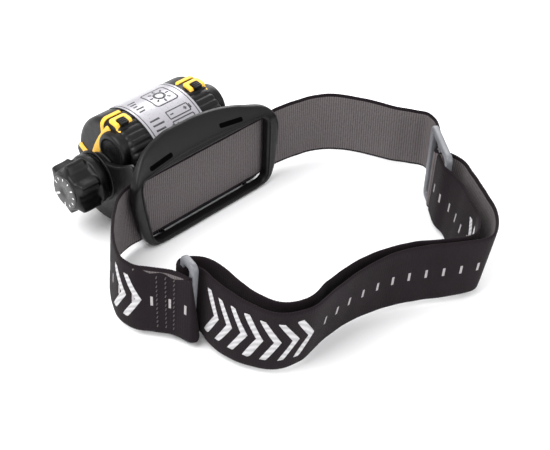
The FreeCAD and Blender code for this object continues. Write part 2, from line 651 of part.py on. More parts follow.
def build():
    os.makedirs("parts", exist_ok=True)
    makers = [strap_left_run, strap_window_run, strap_far_run, strap_rear_outer, strap_rear_inner,
              strap_left_return, strap_rear_turn, ring_left, slider_right, forehead_frame, bracket,
              frame_posts,
              rear_shell, label_plate, latch_hooks, cover_hinge_pin, front_shell, seam_trim,
              lens_gasket, front_lens, lens_bezel, bezel_screws, heat_sink, led_board, led_spot,
              led_flood, reflector, flood_diffuser, selector_knob, knob_face, selector_shaft,
              shaft_seal, rotary_switch, pivot_cap, pivot_screw]
    for maker in makers:
        save(maker.__name__, maker())
    for name, z, left_positive in (("upper", CELL_ZS[0], True), ("lower", CELL_ZS[1], False)):
        save("cell_" + name, cell(z, left_positive))
        save("contact_plate_" + name, contact_plate(z, left_positive))
        save("contact_spring_" + name, contact_spring(z, left_positive))
    for name, side in (("left", -1), ("right", 1)):
        save("friction_washer_" + name, friction_washer(side))


build()
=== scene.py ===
"""Two-cell work headlamp on an elastic headband: surfaces, finishes, floor, lights and camera.

Lengths inside the classes are millimetres in the CAD model's own frame: +X runs along the tilt
axis away from the selector knob, +Y is the way the lamp shines and +Z is up.
"""

import json
import logging
import math
from dataclasses import dataclass, field
from enum import Enum
from typing import Callable, Sequence, Union

import bmesh
import bpy
import numpy as np
from mathutils import Matrix, Vector

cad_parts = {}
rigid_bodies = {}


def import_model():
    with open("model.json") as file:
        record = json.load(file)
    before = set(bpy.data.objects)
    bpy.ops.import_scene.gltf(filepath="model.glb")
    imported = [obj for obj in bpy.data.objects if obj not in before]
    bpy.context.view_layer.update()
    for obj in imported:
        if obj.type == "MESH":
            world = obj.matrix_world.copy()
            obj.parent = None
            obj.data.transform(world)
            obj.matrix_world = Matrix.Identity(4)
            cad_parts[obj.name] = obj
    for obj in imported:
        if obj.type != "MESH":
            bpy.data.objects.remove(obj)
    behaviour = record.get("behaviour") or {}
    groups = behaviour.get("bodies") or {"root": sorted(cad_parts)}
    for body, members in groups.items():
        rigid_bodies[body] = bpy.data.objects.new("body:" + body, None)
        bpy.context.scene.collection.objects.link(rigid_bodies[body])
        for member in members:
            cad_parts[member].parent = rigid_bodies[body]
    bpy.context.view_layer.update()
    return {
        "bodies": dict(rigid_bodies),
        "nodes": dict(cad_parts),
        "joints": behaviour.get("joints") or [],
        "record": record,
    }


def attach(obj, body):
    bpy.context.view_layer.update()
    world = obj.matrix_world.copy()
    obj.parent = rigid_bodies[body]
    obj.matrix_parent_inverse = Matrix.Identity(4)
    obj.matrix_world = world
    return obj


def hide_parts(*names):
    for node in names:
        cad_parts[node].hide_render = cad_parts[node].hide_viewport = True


LOG = logging.getLogger("headlamp")
MM = 0.001
Array = np.ndarray
Field = Callable[[Array, Array], Array]
Pairs = Sequence[tuple[float, float]]
Feed = Union[bpy.types.NodeSocket, bpy.types.Node, float, tuple, str]


class Body(str, Enum):
    """The moving groups of the headlamp."""

    HEADBAND = "headband"
    LAMP = "lamp_body"
    COVER = "front_cover"
    SELECTOR = "selector"


# ------------------------------------------------------------------ curves and surfaces
def smooth_path(points: Array, step: float, closed: bool = False) -> Array:
    """Follow given points with a smooth curve, sampled at an even spacing.

    Each span is a cubic Hermite piece whose end tangents are the central differences of the
    neighbouring points, weighted by the chord lengths on either side.

    Args:
        points: one row per point; the first two columns set the spacing, the rest ride along.
        step: distance between samples, in the points' unit.
        closed: join the last point to the first.

    Returns:
        One row per sample.
    """
    pts = np.asarray(points, float)
    if closed:
        pts = np.vstack([pts, pts[:1]])
    chord = np.linalg.norm(np.diff(pts[:, :2], axis=0), axis=1)
    knots = np.concatenate([[0.0], np.cumsum(chord)])
    slope = np.diff(pts, axis=0) / chord[:, None]
    tangent = np.empty_like(pts)
    weight = (chord[:-1] / (chord[:-1] + chord[1:]))[:, None]
    tangent[1:-1] = slope[:-1] * (1 - weight) + slope[1:] * weight
    if closed:
        w = chord[-1] / (chord[-1] + chord[0])
        tangent[0] = tangent[-1] = slope[-1] * (1 - w) + slope[0] * w
    else:
        tangent[0], tangent[-1] = slope[0], slope[-1]
    fine = np.linspace(0.0, knots[-1], int(knots[-1] / step) * 4 + 2)
    i = np.clip(np.searchsorted(knots, fine, side="right") - 1, 0, len(chord) - 1)
    h = chord[i][:, None]
    t = (fine - knots[i])[:, None] / h
    curve = (
        pts[i] * (2 * t**3 - 3 * t**2 + 1)
        + tangent[i] * h * (t**3 - 2 * t**2 + t)
        + pts[i + 1] * (-2 * t**3 + 3 * t**2)
        + tangent[i + 1] * h * (t**3 - t**2)
    )
    run = np.concatenate([[0.0], np.cumsum(np.linalg.norm(np.diff(curve[:, :2], axis=0), axis=1))])
    spaced = np.linspace(0.0, run[-1], max(int(round(run[-1] / step)), 3) + 1)
    if closed:
        spaced = spaced[:-1]
    return np.stack([np.interp(spaced, run, curve[:, k]) for k in range(curve.shape[1])], axis=1)


def spow(value: Array, power: float) -> Array:
    """Signed power, the building block of rounded-box sections."""
    return np.sign(value) * np.abs(value) ** power


def patch(points: Array, wrap_u: bool = False, wrap_v: bool = False) -> tuple[Array, Array]:
    """Turn a grid of points into vertices and quads.

    Args:
        points: array (nu, nv, 3).
        wrap_u: join the last row to the first.
        wrap_v: join the last column to the first.

    Returns:
        Vertices (n, 3) and quads (m, 4).
    """
    nu, nv = points.shape[:2]
    index = np.arange(nu * nv).reshape(nu, nv)
    if wrap_u:
        index = np.vstack([index, index[:1]])
    if wrap_v:
        index = np.hstack([index, index[:, :1]])
    quads = np.stack([index[:-1, :-1], index[1:, :-1], index[1:, 1:], index[:-1, 1:]], axis=-1)
    return points.reshape(-1, 3), quads.reshape(-1, 4)


def outward(verts: Array, quads: Array) -> Array:
    """Flip the quads of a closed patch if the volume they enclose comes out negative."""
    a, b, c, d = (verts[quads[:, k]] for k in range(4))
    volume = np.einsum("ij,ij->i", a, np.cross(b, c)).sum() + np.einsum("ij,ij->i", a, np.cross(c, d)).sum()
    return quads[:, ::-1] if volume < 0 else quads


def capped(verts: Array, quads: Array, rings: Sequence[Array]) -> tuple[Array, list]:
    """Close open ends of a tube: each ring of vertex numbers gets a fan to its middle.

    Args:
        verts: vertices.
        quads: quads of the tube, all turned the same way.
        rings: vertex numbers of each open end, in the order that the tube's edge runs.

    Returns:
        Vertices with the middles added, and faces as lists.
    """
    faces = quads.tolist()
    points = verts
    for ring in rings:
        points = np.vstack([points, points[ring].mean(axis=0)])
        middle = len(points) - 1
        faces += [[int(a), int(b), middle] for a, b in zip(ring, np.roll(ring, -1))]
    return points, faces


def make_piece(name: str, parts: Sequence[tuple], body: Body, uv: Array | None = None) -> bpy.types.Object:
    """Build one object from several vertex-and-face sets and ride it on a body.

    Args:
        name: the piece's name.
        parts: (vertices in mm, faces) pairs.
        body: the body that it moves with.
        uv: optional per-loop coordinates, one row per face corner in face order.

    Returns:
        The new object, smooth shaded, at the origin.
    """
    verts: list = []
    faces: list = []
    for points, polys in parts:
        start = len(verts)
        verts += (np.asarray(points) * MM).tolist()
        faces += [[int(i) + start for i in poly] for poly in polys]
    mesh = bpy.data.meshes.new(name)
    mesh.from_pydata(verts, [], faces)
    if uv is not None:
        layer = mesh.uv_layers.new(name="cloth")
        layer.data.foreach_set("uv", np.asarray(uv, dtype=np.float32).ravel())
    mesh.polygons.foreach_set("use_smooth", np.ones(len(faces), dtype=bool))
    mesh.update()
    piece = bpy.data.objects.new(name, mesh)
    bpy.context.scene.collection.objects.link(piece)
    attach(piece, body.value)
    LOG.info("%s: %d faces on %s", name, len(faces), body.value)
    return piece


def crease(piece: bpy.types.Object, angle: float = 40.0) -> None:
    """Keep the edges sharper than an angle, in degrees, as hard edges."""
    piece.data.set_sharp_from_angle(angle=math.radians(angle))


def rounded_rect(half_w: float, half_h: float, radius: float, side: int = 14, corner: int = 8) -> Array:
    """A closed rounded rectangle, anticlockwise: quarter circles joined by straight sides.

    Every corner and every side has a fixed number of samples, so that two of these loops
    match sample for sample.
    """
    r = min(radius, half_w, half_h)
    turn = np.linspace(0, math.pi / 2, corner + 1)
    rows = []
    for k, (sx, sy) in enumerate(((1, 1), (-1, 1), (-1, -1), (1, -1))):
        a = turn + k * math.pi / 2
        x = sx * (half_w - r) + r * np.cos(a)
        y = sy * (half_h - r) + r * np.sin(a)
        rows.append(np.stack([x, y], axis=1))
    loop = []
    for k, row in enumerate(rows):
        share = np.linspace(0, 1, side + 2)[1:-1, None]
        loop += [row, row[-1] * (1 - share) + rows[(k + 1) % 4][0] * share]
    return np.vstack(loop)


def same_bearing(loop: Array, guide: Array, centre: Sequence[float], stretch: float = 1.0) -> Array:
    """Resample a closed loop so that each sample has the guide sample's bearing from the centre.

    Args:
        loop: dense closed loop that goes once round the centre.
        guide: loop whose bearings are followed.
        centre: the point that both go round.
        stretch: factor on the first axis before bearings are taken, for long loops.
    """
    def bearing(points: Array) -> Array:
        """Angle of each point about the centre."""
        away = (points - np.asarray(centre)) * np.array([stretch, 1.0])
        return np.arctan2(away[:, 1], away[:, 0])

    angle = bearing(loop)
    order = np.argsort(angle)
    want = bearing(guide)
    columns = [np.interp(want, angle[order], loop[order, k], period=2 * math.pi) for k in range(2)]
    return np.stack(columns, axis=1)


def band(inner: Array, outer: Array, depth: Field, half_thick: Field, count: int = 36,
         box: float = 0.4) -> tuple[Array, Array]:
    """A closed ring of material between two loops, with a rounded section.

    Round the section an angle phi runs from 0 to a full turn. The place between the loops is
    s = (1 - cos phi) / 2 with a boxy power, and the depth is the middle depth minus the half
    thickness times the boxy power of sin phi.

    Args:
        inner: (n, 2) loop of the opening.
        outer: (n, 2) loop of the outside, sample for sample beside the inner one.
        depth: middle depth from the flat place (n, m, 2) and s (1, m).
        half_thick: half thickness from the same two.
        count: samples round the section.
        box: power of the section; smaller is squarer.

    Returns:
        Vertices (u, v, depth) and quads.
    """
    phi = np.linspace(0, 2 * math.pi, count, endpoint=False)[None, :]
    s = 0.5 - 0.5 * spow(np.cos(phi), 0.75)
    flat = inner[:, None, :] + s[..., None] * (outer - inner)[:, None, :]
    deep = depth(flat, s) - half_thick(flat, s) * spow(np.sin(phi), box)
    points = np.concatenate([flat, deep[..., None]], axis=-1)
    verts, quads = patch(points, wrap_u=True, wrap_v=True)
    return verts, outward(verts, quads)


def slab(outline: Array, low: float, high: float, edge: float = 0.6, steps: int = 4) -> tuple[Array, list]:
    """A flat piece with a closed outline and rounded edges.

    The outline is drawn in by edge * (1 - cos a) and set down by edge * (1 - sin a) as a runs
    through a quarter turn at each face, and the two faces are single polygons.

    Args:
        outline: (n, 2) closed loop, anticlockwise.
        low: depth of the lower face.
        high: depth of the upper face.
        edge: radius of the rounded edges.
        steps: samples over each rounded edge.

    Returns:
        Vertices (u, v, depth) and faces.
    """
    ahead = np.roll(outline, -1, axis=0) - np.roll(outline, 1, axis=0)
    ahead /= np.linalg.norm(ahead, axis=1)[:, None] + 1e-12
    inward = np.stack([-ahead[:, 1], ahead[:, 0]], axis=1)
    turn = np.linspace(0, math.pi / 2, steps + 1)
    draw = np.concatenate([edge * (1 - np.sin(turn)), edge * (1 - np.cos(turn))])
    deep = np.concatenate([low + edge * (1 - np.cos(turn)), high - edge * (1 - np.sin(turn))])
    rows = [np.column_stack([outline + inward * d, np.full(len(outline), z)]) for d, z in zip(draw, deep)]
    verts, quads = patch(np.stack(rows, axis=1), wrap_u=True)
    quads = outward(verts, quads)
    n, m = len(outline), len(rows)
    first = (np.arange(n) * m).tolist()
    last = (np.arange(n) * m + m - 1).tolist()
    return verts, quads.tolist() + [first[::-1], last]


def lathe(profile: Pairs, axis: Array, origin: Sequence[float], count: int = 48,
          waves: Field | None = None) -> tuple[Array, Array]:
    """A profile (distance along the axis, radius) carried round the axis.

    Args:
        profile: pairs from one pole to the other; the end radii are nearly zero.
        axis: rows of the turning frame, the third one along the axis.
        origin: where the axis starts.
        count: samples round.
        waves: optional radius factor as a function of angle and profile share.

    Returns:
        Vertices and quads.
    """
    prof = np.asarray(profile, float)
    turn = np.linspace(0, 2 * math.pi, count, endpoint=False)[:, None]
    share = np.linspace(0, 1, len(prof))[None, :]
    radius = prof[None, :, 1] * (waves(turn, share) if waves else 1.0)
    points = (
        np.asarray(origin, float)
        + (radius * np.cos(turn))[..., None] * axis[0]
        + (radius * np.sin(turn))[..., None] * axis[1]
        + (prof[None, :, 0] + 0 * turn)[..., None] * axis[2]
    )
    verts, quads = patch(points, wrap_u=True)
    return verts, outward(verts, quads)


def even(value: float) -> Field:
    """A depth or half thickness that is the same all over a band."""
    return lambda flat, s: value + 0 * flat[..., 0]


def tube_caps(count: int, around: int) -> list[list[int]]:
    """Two polygons that close a tube of count rings with a number of vertices each."""
    last = (count - 1) * around
    return [list(range(around)), [last + k for k in range(around)][::-1]]


def dress(piece: bpy.types.Object, finish: bpy.types.Material) -> None:
    """Give a piece its finish in a new material slot."""
    piece.data.materials.append(finish)


# ------------------------------------------------------------------ finishes
class Nodes:
    """Short hand for laying out a shader."""

    def __init__(self, name: str) -> None:
        """Start an empty material with an output and a principled shader."""
        self.material = bpy.data.materials.new(name)
        self.material.use_nodes = True
        self.tree = self.material.node_tree
        self.tree.nodes.clear()
        self.out = self.tree.nodes.new("ShaderNodeOutputMaterial")
        self.shader = self.tree.nodes.new("ShaderNodeBsdfPrincipled")
        self.tree.links.new(self.shader.outputs[0], self.out.inputs[0])

    def add(self, kind: str, settings: dict | None = None, **inputs: Feed) -> bpy.types.Node:
        """Add a node, set its properties and its named or numbered inputs."""
        node = self.tree.nodes.new("ShaderNode" + kind)
        for key, value in (settings or {}).items():
            setattr(node, key, value)
        for key, value in inputs.items():
            numbered = key[0] == "i" and key[1:].isdigit()
            self.feed(node.inputs[int(key[1:]) if numbered else key], value)
        return node

    def feed(self, socket: bpy.types.NodeSocket, value: Feed) -> None:
        """Link an output to a socket, or set the socket's own value."""
        if isinstance(value, bpy.types.Node):
            value = value.outputs[0]
        if isinstance(value, bpy.types.NodeSocket):
            self.tree.links.new(value, socket)
        else:
            socket.default_value = value

    def math(self, operation: str, a: Feed, b: Feed = 0.0, c: Feed = 0.0) -> bpy.types.NodeSocket:
        """One Math node."""
        return self.add("Math", {"operation": operation}, i0=a, i1=b, i2=c).outputs[0]

    def mix(self, share: Feed, low: Feed, high: Feed) -> bpy.types.NodeSocket:
        """Mix two colours by a share."""
        node = self.add("Mix", {"data_type": "RGBA"})
        self.feed(node.inputs[0], share)
        self.feed(node.inputs[6], low)
        self.feed(node.inputs[7], high)
        return node.outputs[2]

    def noise(self, scale: float, detail: float = 2.0) -> bpy.types.NodeSocket:
        """Noise on the object's own coordinates, which are metres."""
        place = self.add("TexCoord").outputs["Object"]
        return self.add("TexNoise", None, Vector=place, Scale=scale, Detail=detail).outputs["Fac"]

    def span(self, value: Feed, low: float, high: float, out_low: float,
             out_high: float) -> bpy.types.NodeSocket:
        """Map a range of values onto another."""
        node = self.add("MapRange", None, Value=value)
        ends = {"From Min": low, "From Max": high, "To Min": out_low, "To Max": out_high}
        for key, number in ends.items():
            node.inputs[key].default_value = number
        return node.outputs[0]

    def bump(self, height: Feed, distance: float, strength: float = 1.0) -> None:
        """Drive the shader's normal from a height, with its distance in metres."""
        node = self.add("Bump", None, Height=height, Strength=strength, Distance=distance)
        self.tree.links.new(node.outputs[0], self.shader.inputs["Normal"])

    def set(self, **inputs: Feed) -> None:
        """Set the shader's sockets; underscores stand for spaces."""
        for key, value in inputs.items():
            self.feed(self.shader.inputs[key.replace("_", " ")], value)


@dataclass(frozen=True)
class Moulded:
    """Moulded plastic or rubber with a fine spark-eroded grain and faint flow marks."""

    name: str
    color: tuple[float, float, float]
    rough: float = 0.42
    grain: float = 2600.0
    depth: float = 0.00004
    variation: float = 0.25
    coat: float = 0.0
    specular: float = 0.5

    def build(self) -> bpy.types.Material:
        """Make the material."""
        n = Nodes(self.name)
        low = (*[c * (1 - self.variation) for c in self.color], 1)
        high = (*[min(1.0, c * (1 + self.variation)) for c in self.color], 1)
        n.set(Base_Color=n.mix(n.noise(140.0, 3.0), low, high))
        n.set(Roughness=n.span(n.noise(420.0, 4.0), 0.25, 0.75, self.rough - 0.07, self.rough + 0.09))
        if self.coat:
            n.shader.inputs["Coat Weight"].default_value = self.coat
            n.shader.inputs["Coat Roughness"].default_value = 0.18
        n.shader.inputs["Specular IOR Level"].default_value = self.specular
        n.bump(n.noise(self.grain, 2.0), self.depth)
        return n.material


@dataclass(frozen=True)
class Metal:
    """Worked metal with fine scratches along one direction."""

    name: str
    color: tuple[float, float, float]
    rough: float = 0.3
    stretch: tuple[float, float, float] = (60.0, 1400.0, 1400.0)

    def build(self) -> bpy.types.Material:
        """Make the material."""
        n = Nodes(self.name)
        place = n.add("TexCoord").outputs["Object"]
        lines = n.add("Mapping", None, Vector=place)
        lines.inputs["Scale"].default_value = self.stretch
        scratch = n.add("TexNoise", None, Vector=lines, Scale=1.0, Detail=3.0).outputs["Fac"]
        low = (*[c * 0.86 for c in self.color], 1)
        n.set(Base_Color=n.mix(scratch, low, (*self.color, 1)))
        n.set(Roughness=n.span(scratch, 0.3, 0.7, self.rough * 0.7, self.rough * 1.3))
        n.shader.inputs["Metallic"].default_value = 1.0
        n.bump(scratch, 0.00001)
        return n.material


@dataclass(frozen=True)
class ClearLens:
    """Clear moulded polycarbonate with faint handling marks."""

    name: str = "clear_polycarbonate"
    tint: tuple[float, float, float] = (0.93, 0.96, 0.98)

    def build(self) -> bpy.types.Material:
        """Make the material."""
        n = Nodes(self.name)
        n.set(Base_Color=n.mix(n.noise(90.0), (*[c * 0.97 for c in self.tint], 1), (*self.tint, 1)))
        n.set(Roughness=n.span(n.noise(900.0, 4.0), 0.45, 0.8, 0.02, 0.09))
        n.shader.inputs["Transmission Weight"].default_value = 0.95
        n.shader.inputs["IOR"].default_value = 1.2
        return n.material


@dataclass(frozen=True)
class Elastic:
    """Knitted elastic: black outside with a dashed line, grey inside with dark borders.

    The piece's own map holds the length run in metres and a side number: 0 to 1 across the
    outer face from the lower to the upper edge, and 1 to 2 back down the inner face. Spans of
    the run can go plain, without dashes, and other spans get their grey face painted black as
    painted shade, for the narrow shaded gap between the doubled layers of the strap.
    """

    name: str = "elastic_webbing"
    outer: tuple[float, float, float] = (0.0062, 0.0038, 0.0052)
    inner: tuple[float, float, float] = (0.098, 0.086, 0.088)
    dash: tuple[float, float, float] = (0.33, 0.31, 0.32)
    width: float = 30.0
    pitch: float = 7.0
    dash_w: float = 1.0
    dash_h: float = 4.2
    loop: float = 1.05
    border: float = 1.2
    plain: tuple[tuple[float, float], ...] = ()
    # spans of the run whose grey face is painted black: painted shade of the narrow gap between the doubled
    # layers
    gap_shade_spans: tuple[tuple[float, float], ...] = ()

    def outside(self, n: Nodes, run: bpy.types.NodeSocket, spans: Pairs,
                value: bpy.types.NodeSocket) -> bpy.types.NodeSocket:
        """Keep a value outside the given spans of the run and clear it inside them."""
        for low, high in spans:
            here = n.math("MULTIPLY", n.math("GREATER_THAN", run, low), n.math("LESS_THAN", run, high))
            value = n.math("MULTIPLY", value, n.math("SUBTRACT", 1.0, here))
        return value

    def build(self) -> bpy.types.Material:
        """Make the material."""
        n = Nodes(self.name)
        cloth = n.add("UVMap", {"uv_map": "cloth"}).outputs[0]
        split = n.add("SeparateXYZ", None, Vector=cloth)
        run = n.math("MULTIPLY", split.outputs[0], 1000.0)
        side = split.outputs[1]
        # painted shade: in the listed spans the grey inner face takes the black colour, for the shaded gap
        # between the doubled layers
        inside = self.outside(n, run, self.gap_shade_spans, n.math("GREATER_THAN", side, 1.0))
        folded = n.math("PINGPONG", side, 1.0)
        across = n.math("MULTIPLY", n.math("SUBTRACT", folded, 0.5), self.width)
        off = n.math("ABSOLUTE", across)
        wave_u = n.math("SINE", n.math("MULTIPLY", run, 2 * math.pi / self.loop))
        wave_v = n.math("SINE", n.math("MULTIPLY", across, 2 * math.pi / self.loop))
        knit = n.math("MULTIPLY", wave_u, wave_v)
        ribs = n.math("ABSOLUTE", n.math("SINE", n.math("MULTIPLY", run, math.pi / self.loop)))
        rows = n.math("ABSOLUTE", n.math("SINE", n.math("MULTIPLY", across, math.pi / (0.62 * self.loop))))
        relief = n.math("ADD", n.math("MULTIPLY", ribs, 0.48), n.math("MULTIPLY", rows, 0.52))
        fuzz = n.noise(1500.0, 3.0)
        patchy = n.noise(85.0, 3.0)
        dark = (*[c * 0.24 for c in self.inner], 1)
        light = (*[c * 1.7 for c in self.inner], 1)
        tone = n.math("ADD", n.math("MULTIPLY", relief, 0.72), n.math("MULTIPLY", fuzz, 0.5))
        grey = n.mix(n.span(tone, 0.25, 1.05, 0.0, 1.0), dark, light)
        black_low = (*[c * 0.55 for c in self.outer], 1)
        black_high = (*[c * 2.3 for c in self.outer], 1)
        shade = n.math("ADD", n.math("MULTIPLY", knit, 0.22), n.math("MULTIPLY", fuzz, 0.75))
        black = n.mix(n.span(n.math("ADD", shade, n.math("MULTIPLY", patchy, 0.45)), 0.25, 1.05, 0.0, 1.0),
                      black_low, black_high)
        edge = n.math("GREATER_THAN", off, self.width / 2 - self.border)
        grey = n.mix(edge, grey, black)
        beat = n.math("ABSOLUTE", n.math("SUBTRACT", n.math("MODULO", run, self.pitch), self.pitch / 2))
        spot = n.math("MULTIPLY", n.math("LESS_THAN", beat, self.dash_w / 2),
                      n.math("LESS_THAN", off, self.dash_h / 2))
        spot = self.outside(n, run, self.plain, spot)
        thread = n.mix(fuzz, (*[c * 0.75 for c in self.dash], 1), (*[c * 1.25 for c in self.dash], 1))
        n.set(Base_Color=n.mix(inside, n.mix(spot, black, thread), grey))
        n.set(Roughness=n.span(fuzz, 0.2, 0.8, 0.78, 0.96))
        n.shader.inputs["Sheen Weight"].default_value = 0.03
        n.shader.inputs["Sheen Roughness"].default_value = 0.5
        n.shader.inputs["Specular IOR Level"].default_value = 0.12
        n.bump(n.math("ADD", n.math("MULTIPLY", relief, 0.6), n.math("MULTIPLY", fuzz, 0.5)), 0.00016)
        return n.material


@dataclass(frozen=True)
class Thread:
    """Thick embroidery or sewing thread with its twist showing."""

    name: str
    color: tuple[float, float, float]
    twist: float = 1500.0

    def build(self) -> bpy.types.Material:
        """Make the material."""
        n = Nodes(self.name)
        place = n.add("TexCoord").outputs["Object"]
        lay = n.add("TexWave", {"bands_direction": "DIAGONAL"}, Vector=place, Scale=self.twist / 6.0,
                    Distortion=2.0, Detail=2.0).outputs["Fac"]
        low = (*[c * 0.68 for c in self.color], 1)
        n.set(Base_Color=n.mix(lay, low, (*self.color, 1)))
        n.set(Roughness=n.span(n.noise(2000.0), 0.3, 0.7, 0.72, 0.9))
        n.shader.inputs["Sheen Weight"].default_value = 0.2
        n.bump(lay, 0.0001)
        return n.material


@dataclass(frozen=True)
class Foil:
    """Silver label foil with a satin overlaminate."""

    name: str = "silver_foil"
    color: tuple[float, float, float] = (0.40, 0.39, 0.42)

    def build(self) -> bpy.types.Material:
        """Make the material."""
        n = Nodes(self.name)
        n.set(Base_Color=n.mix(n.noise(260.0, 4.0), (*[c * 0.92 for c in self.color], 1), (*self.color, 1)))
        n.set(Roughness=n.span(n.noise(1300.0, 3.0), 0.3, 0.7, 0.26, 0.38))
        n.shader.inputs["Metallic"].default_value = 0.35
        n.bump(n.noise(700.0), 0.00001)
        return n.material


@dataclass(frozen=True)
class Ground:
    """Pale seamless studio floor."""

    name: str = "studio_floor"
    color: tuple[float, float, float] = (0.93, 0.93, 0.94)

    def build(self) -> bpy.types.Material:
        """Make the material."""
        n = Nodes(self.name)
        n.set(Base_Color=n.mix(n.noise(6.0), (*[c * 0.985 for c in self.color], 1), (*self.color, 1)))
        n.set(Roughness=n.span(n.noise(40.0), 0.3, 0.7, 0.6, 0.7))
        return n.material


# ------------------------------------------------------------------ layout
SHIFT = np.array([2.4, 2.4, 0.0])      # the layout's origin in the frame
LAMP_X = -15.5                         # middle of the lamp along the tilt axis
AXIS_Y = 57.0                          # tilt axis
AXIS_Z = 22.8
BARREL_R = 22.4                        # skin of the lamp about the tilt axis
ALONG_X = np.array([[0.0, 1.0, 0.0], [0.0, 0.0, 1.0], [1.0, 0.0, 0.0]])   # turning frame of the axis
Route = list[tuple[float, float, float]]


def placed(points: Array) -> Array:
    """Layout coordinates to the frame's, in millimetres."""
    return np.asarray(points) + SHIFT


def upright(verts: Array, quads: Array) -> tuple[Array, Array]:
    """Stand an (across, up, depth) mesh up in the frame, with its depth along Y."""
    return placed(verts[:, [0, 2, 1]]), quads[:, ::-1]


@dataclass
class Webbing:
    """The elastic strap: one length of webbing on edge, from its sewn end to its folded end."""

    width: float = 30.0
    thick: float = 1.4
    lower_edge: float = 3.0
    step: float = 0.42
    across: int = 24
    loop: float = 1.05
    frame_left: float = -53.45
    frame_right: float = 29.05
    strap_y: float = 31.1
    mark_start: float = 3.0
    mark_count: int = 7
    mark_pitch: float = 6.4
    far_mark: tuple[float, float] = (37.5, -69.0)
    left_mark: tuple[float, float] = (-80.5, 5.0)
    half_way: float = 300.0
    turn_after: float = 170.0
    rear_inner: Route = field(default_factory=lambda: [
        (-58.3, -25.2, -1.5), (-58.8, -32, -2.5), (-59.6, -41, -2.5), (-58.6, -50, -1), (-54.4, -57.4, 2),
        (-47, -60.6, 4), (-35, -58.9, 5), (-21, -58.9, 4.5), (-8, -62, 3), (4.5, -67.6, 2.5),
        (16, -75.4, 3), (25, -79.6, 4), (33, -75.2, 4), (39.5, -66, 4), (45.5, -57.5, 3),
        (48.0, -52.4, 2), (49.6, -47.2, 1.5), (55.4, -39.2, 1)])
    turn: Route = field(default_factory=lambda: [
        (-59.6, -20.5, 1.0), (-63, -16.5, 0), (-66.4, -15.4, -0.5), (-68.6, -17, -1), (-68, -20, -1.5),
        (-65.2, -22.6, -1.7)])
    rear_outer: Route = field(default_factory=lambda: [
        (-64.6, -25.5, -2), (-65.8, -32, -3), (-66, -41, -3), (-64.2, -51, -1), (-59.5, -60, 2),
        (-50, -64.6, 4.5), (-36, -63.4, 5.5), (-20, -63.5, 4.8), (-6, -66.4, 3), (7, -72.6, 2.5),
        (18.5, -80.3, 3), (29, -84.8, 4), (38.5, -79.5, 4.5), (47, -67.6, 4.5), (54, -56, 4),
        (58.4, -47.4, 3), (58.9, -42, 1.5)])
    slider: Route = field(default_factory=lambda: [(57.3, -36.4, 0.5), (62.6, -34.4, 0), (67.9, -30.4, 0)])
    far: Route = field(default_factory=lambda: [
        (72.4, -26, 0), (75.8, -22, -1), (77.5, -16.5, -2), (75, -11, -2), (70.5, -3, -1.5), (67, 6, -1),
        (63, 14.5, -1), (57.5, 22, 0), (50, 27, 0), (42, 29.4, 0)])
    left: Route = field(default_factory=lambda: [
        (-58.5, 29.6, -1), (-66, 24, -2), (-73, 16.5, -2.5), (-78.5, 8.5, -2.5), (-81.8, 1, -2.5),
        (-81.5, -6, -2.5), (-77.5, -12.5, -2.5), (-73.2, -19, -2.5), (-71.9, -23, -2.5),
        (-71.4, -25.6, -2.5)])
    fold: Route = field(default_factory=lambda: [
        (-70.6, -27.6, -2.4), (-69.2, -26.6, -2.4), (-69.9, -22.6, -2.4), (-71.6, -17.4, -2.4),
        (-75.9, -11.0, -2.5), (-79.6, -5.6, -2.5)])

    def __post_init__(self) -> None:
        """Work out the smooth centre line, its outward side and its length run."""
        window = [(self.frame_right + 3, self.strap_y, 0.0), (self.frame_right - 12, self.strap_y, 0.0),
                  (-12.2, self.strap_y, 0.0), (self.frame_left + 12, self.strap_y, 0.0),
                  (self.frame_left - 1, self.strap_y, 0.0)]
        folded = [(x, y, -lean) for x, y, lean in self.rear_inner[::-1]]
        points = (folded + self.turn + self.rear_outer + self.slider + self.far + window + self.left
                  + self.fold)
        self.line = smooth_path(np.array(points, float), self.step)
        ahead = np.gradient(self.line[:, :2], axis=0)
        ahead /= np.linalg.norm(ahead, axis=1)[:, None]
        self.side = np.stack([ahead[:, 1], -ahead[:, 0]], axis=1)
        steps = np.linalg.norm(np.diff(self.line[:, :2], axis=0), axis=1)
        self.run = np.concatenate([[0.0], np.cumsum(steps)])

    def at(self, run: Array, height: Array, out: Array) -> Array:
        """Points of the webbing's body.

        The place is the centre line at the run, moved along its outward side by the lean's share
        of the height and by the distance out of the middle plane.

        Args:
            run: length along the centre line, mm.
            height: 0 at the lower edge to 1 at the upper edge.
            out: distance out of the middle plane, mm.

        Returns:
            Points in the layout, one per entry of the broadcast inputs.
        """
        x, y, lean = (np.interp(run, self.run, self.line[:, k]) for k in range(3))
        nx, ny = (np.interp(run, self.run, self.side[:, k]) for k in range(2))
        off = lean * (height - 0.5) + out
        z = self.lower_edge + self.width * height
        return np.stack(np.broadcast_arrays(x + nx * off, y + ny * off, z), -1)

    def run_near(self, x: float, y: float, after: float = 0.0) -> float:
        """Length run at which the centre line passes nearest to a point, from a given run on."""
        away = np.hypot(self.line[:, 0] - x, self.line[:, 1] - y) + 1e6 * (self.run < after)
        return float(self.run[np.argmin(away)])

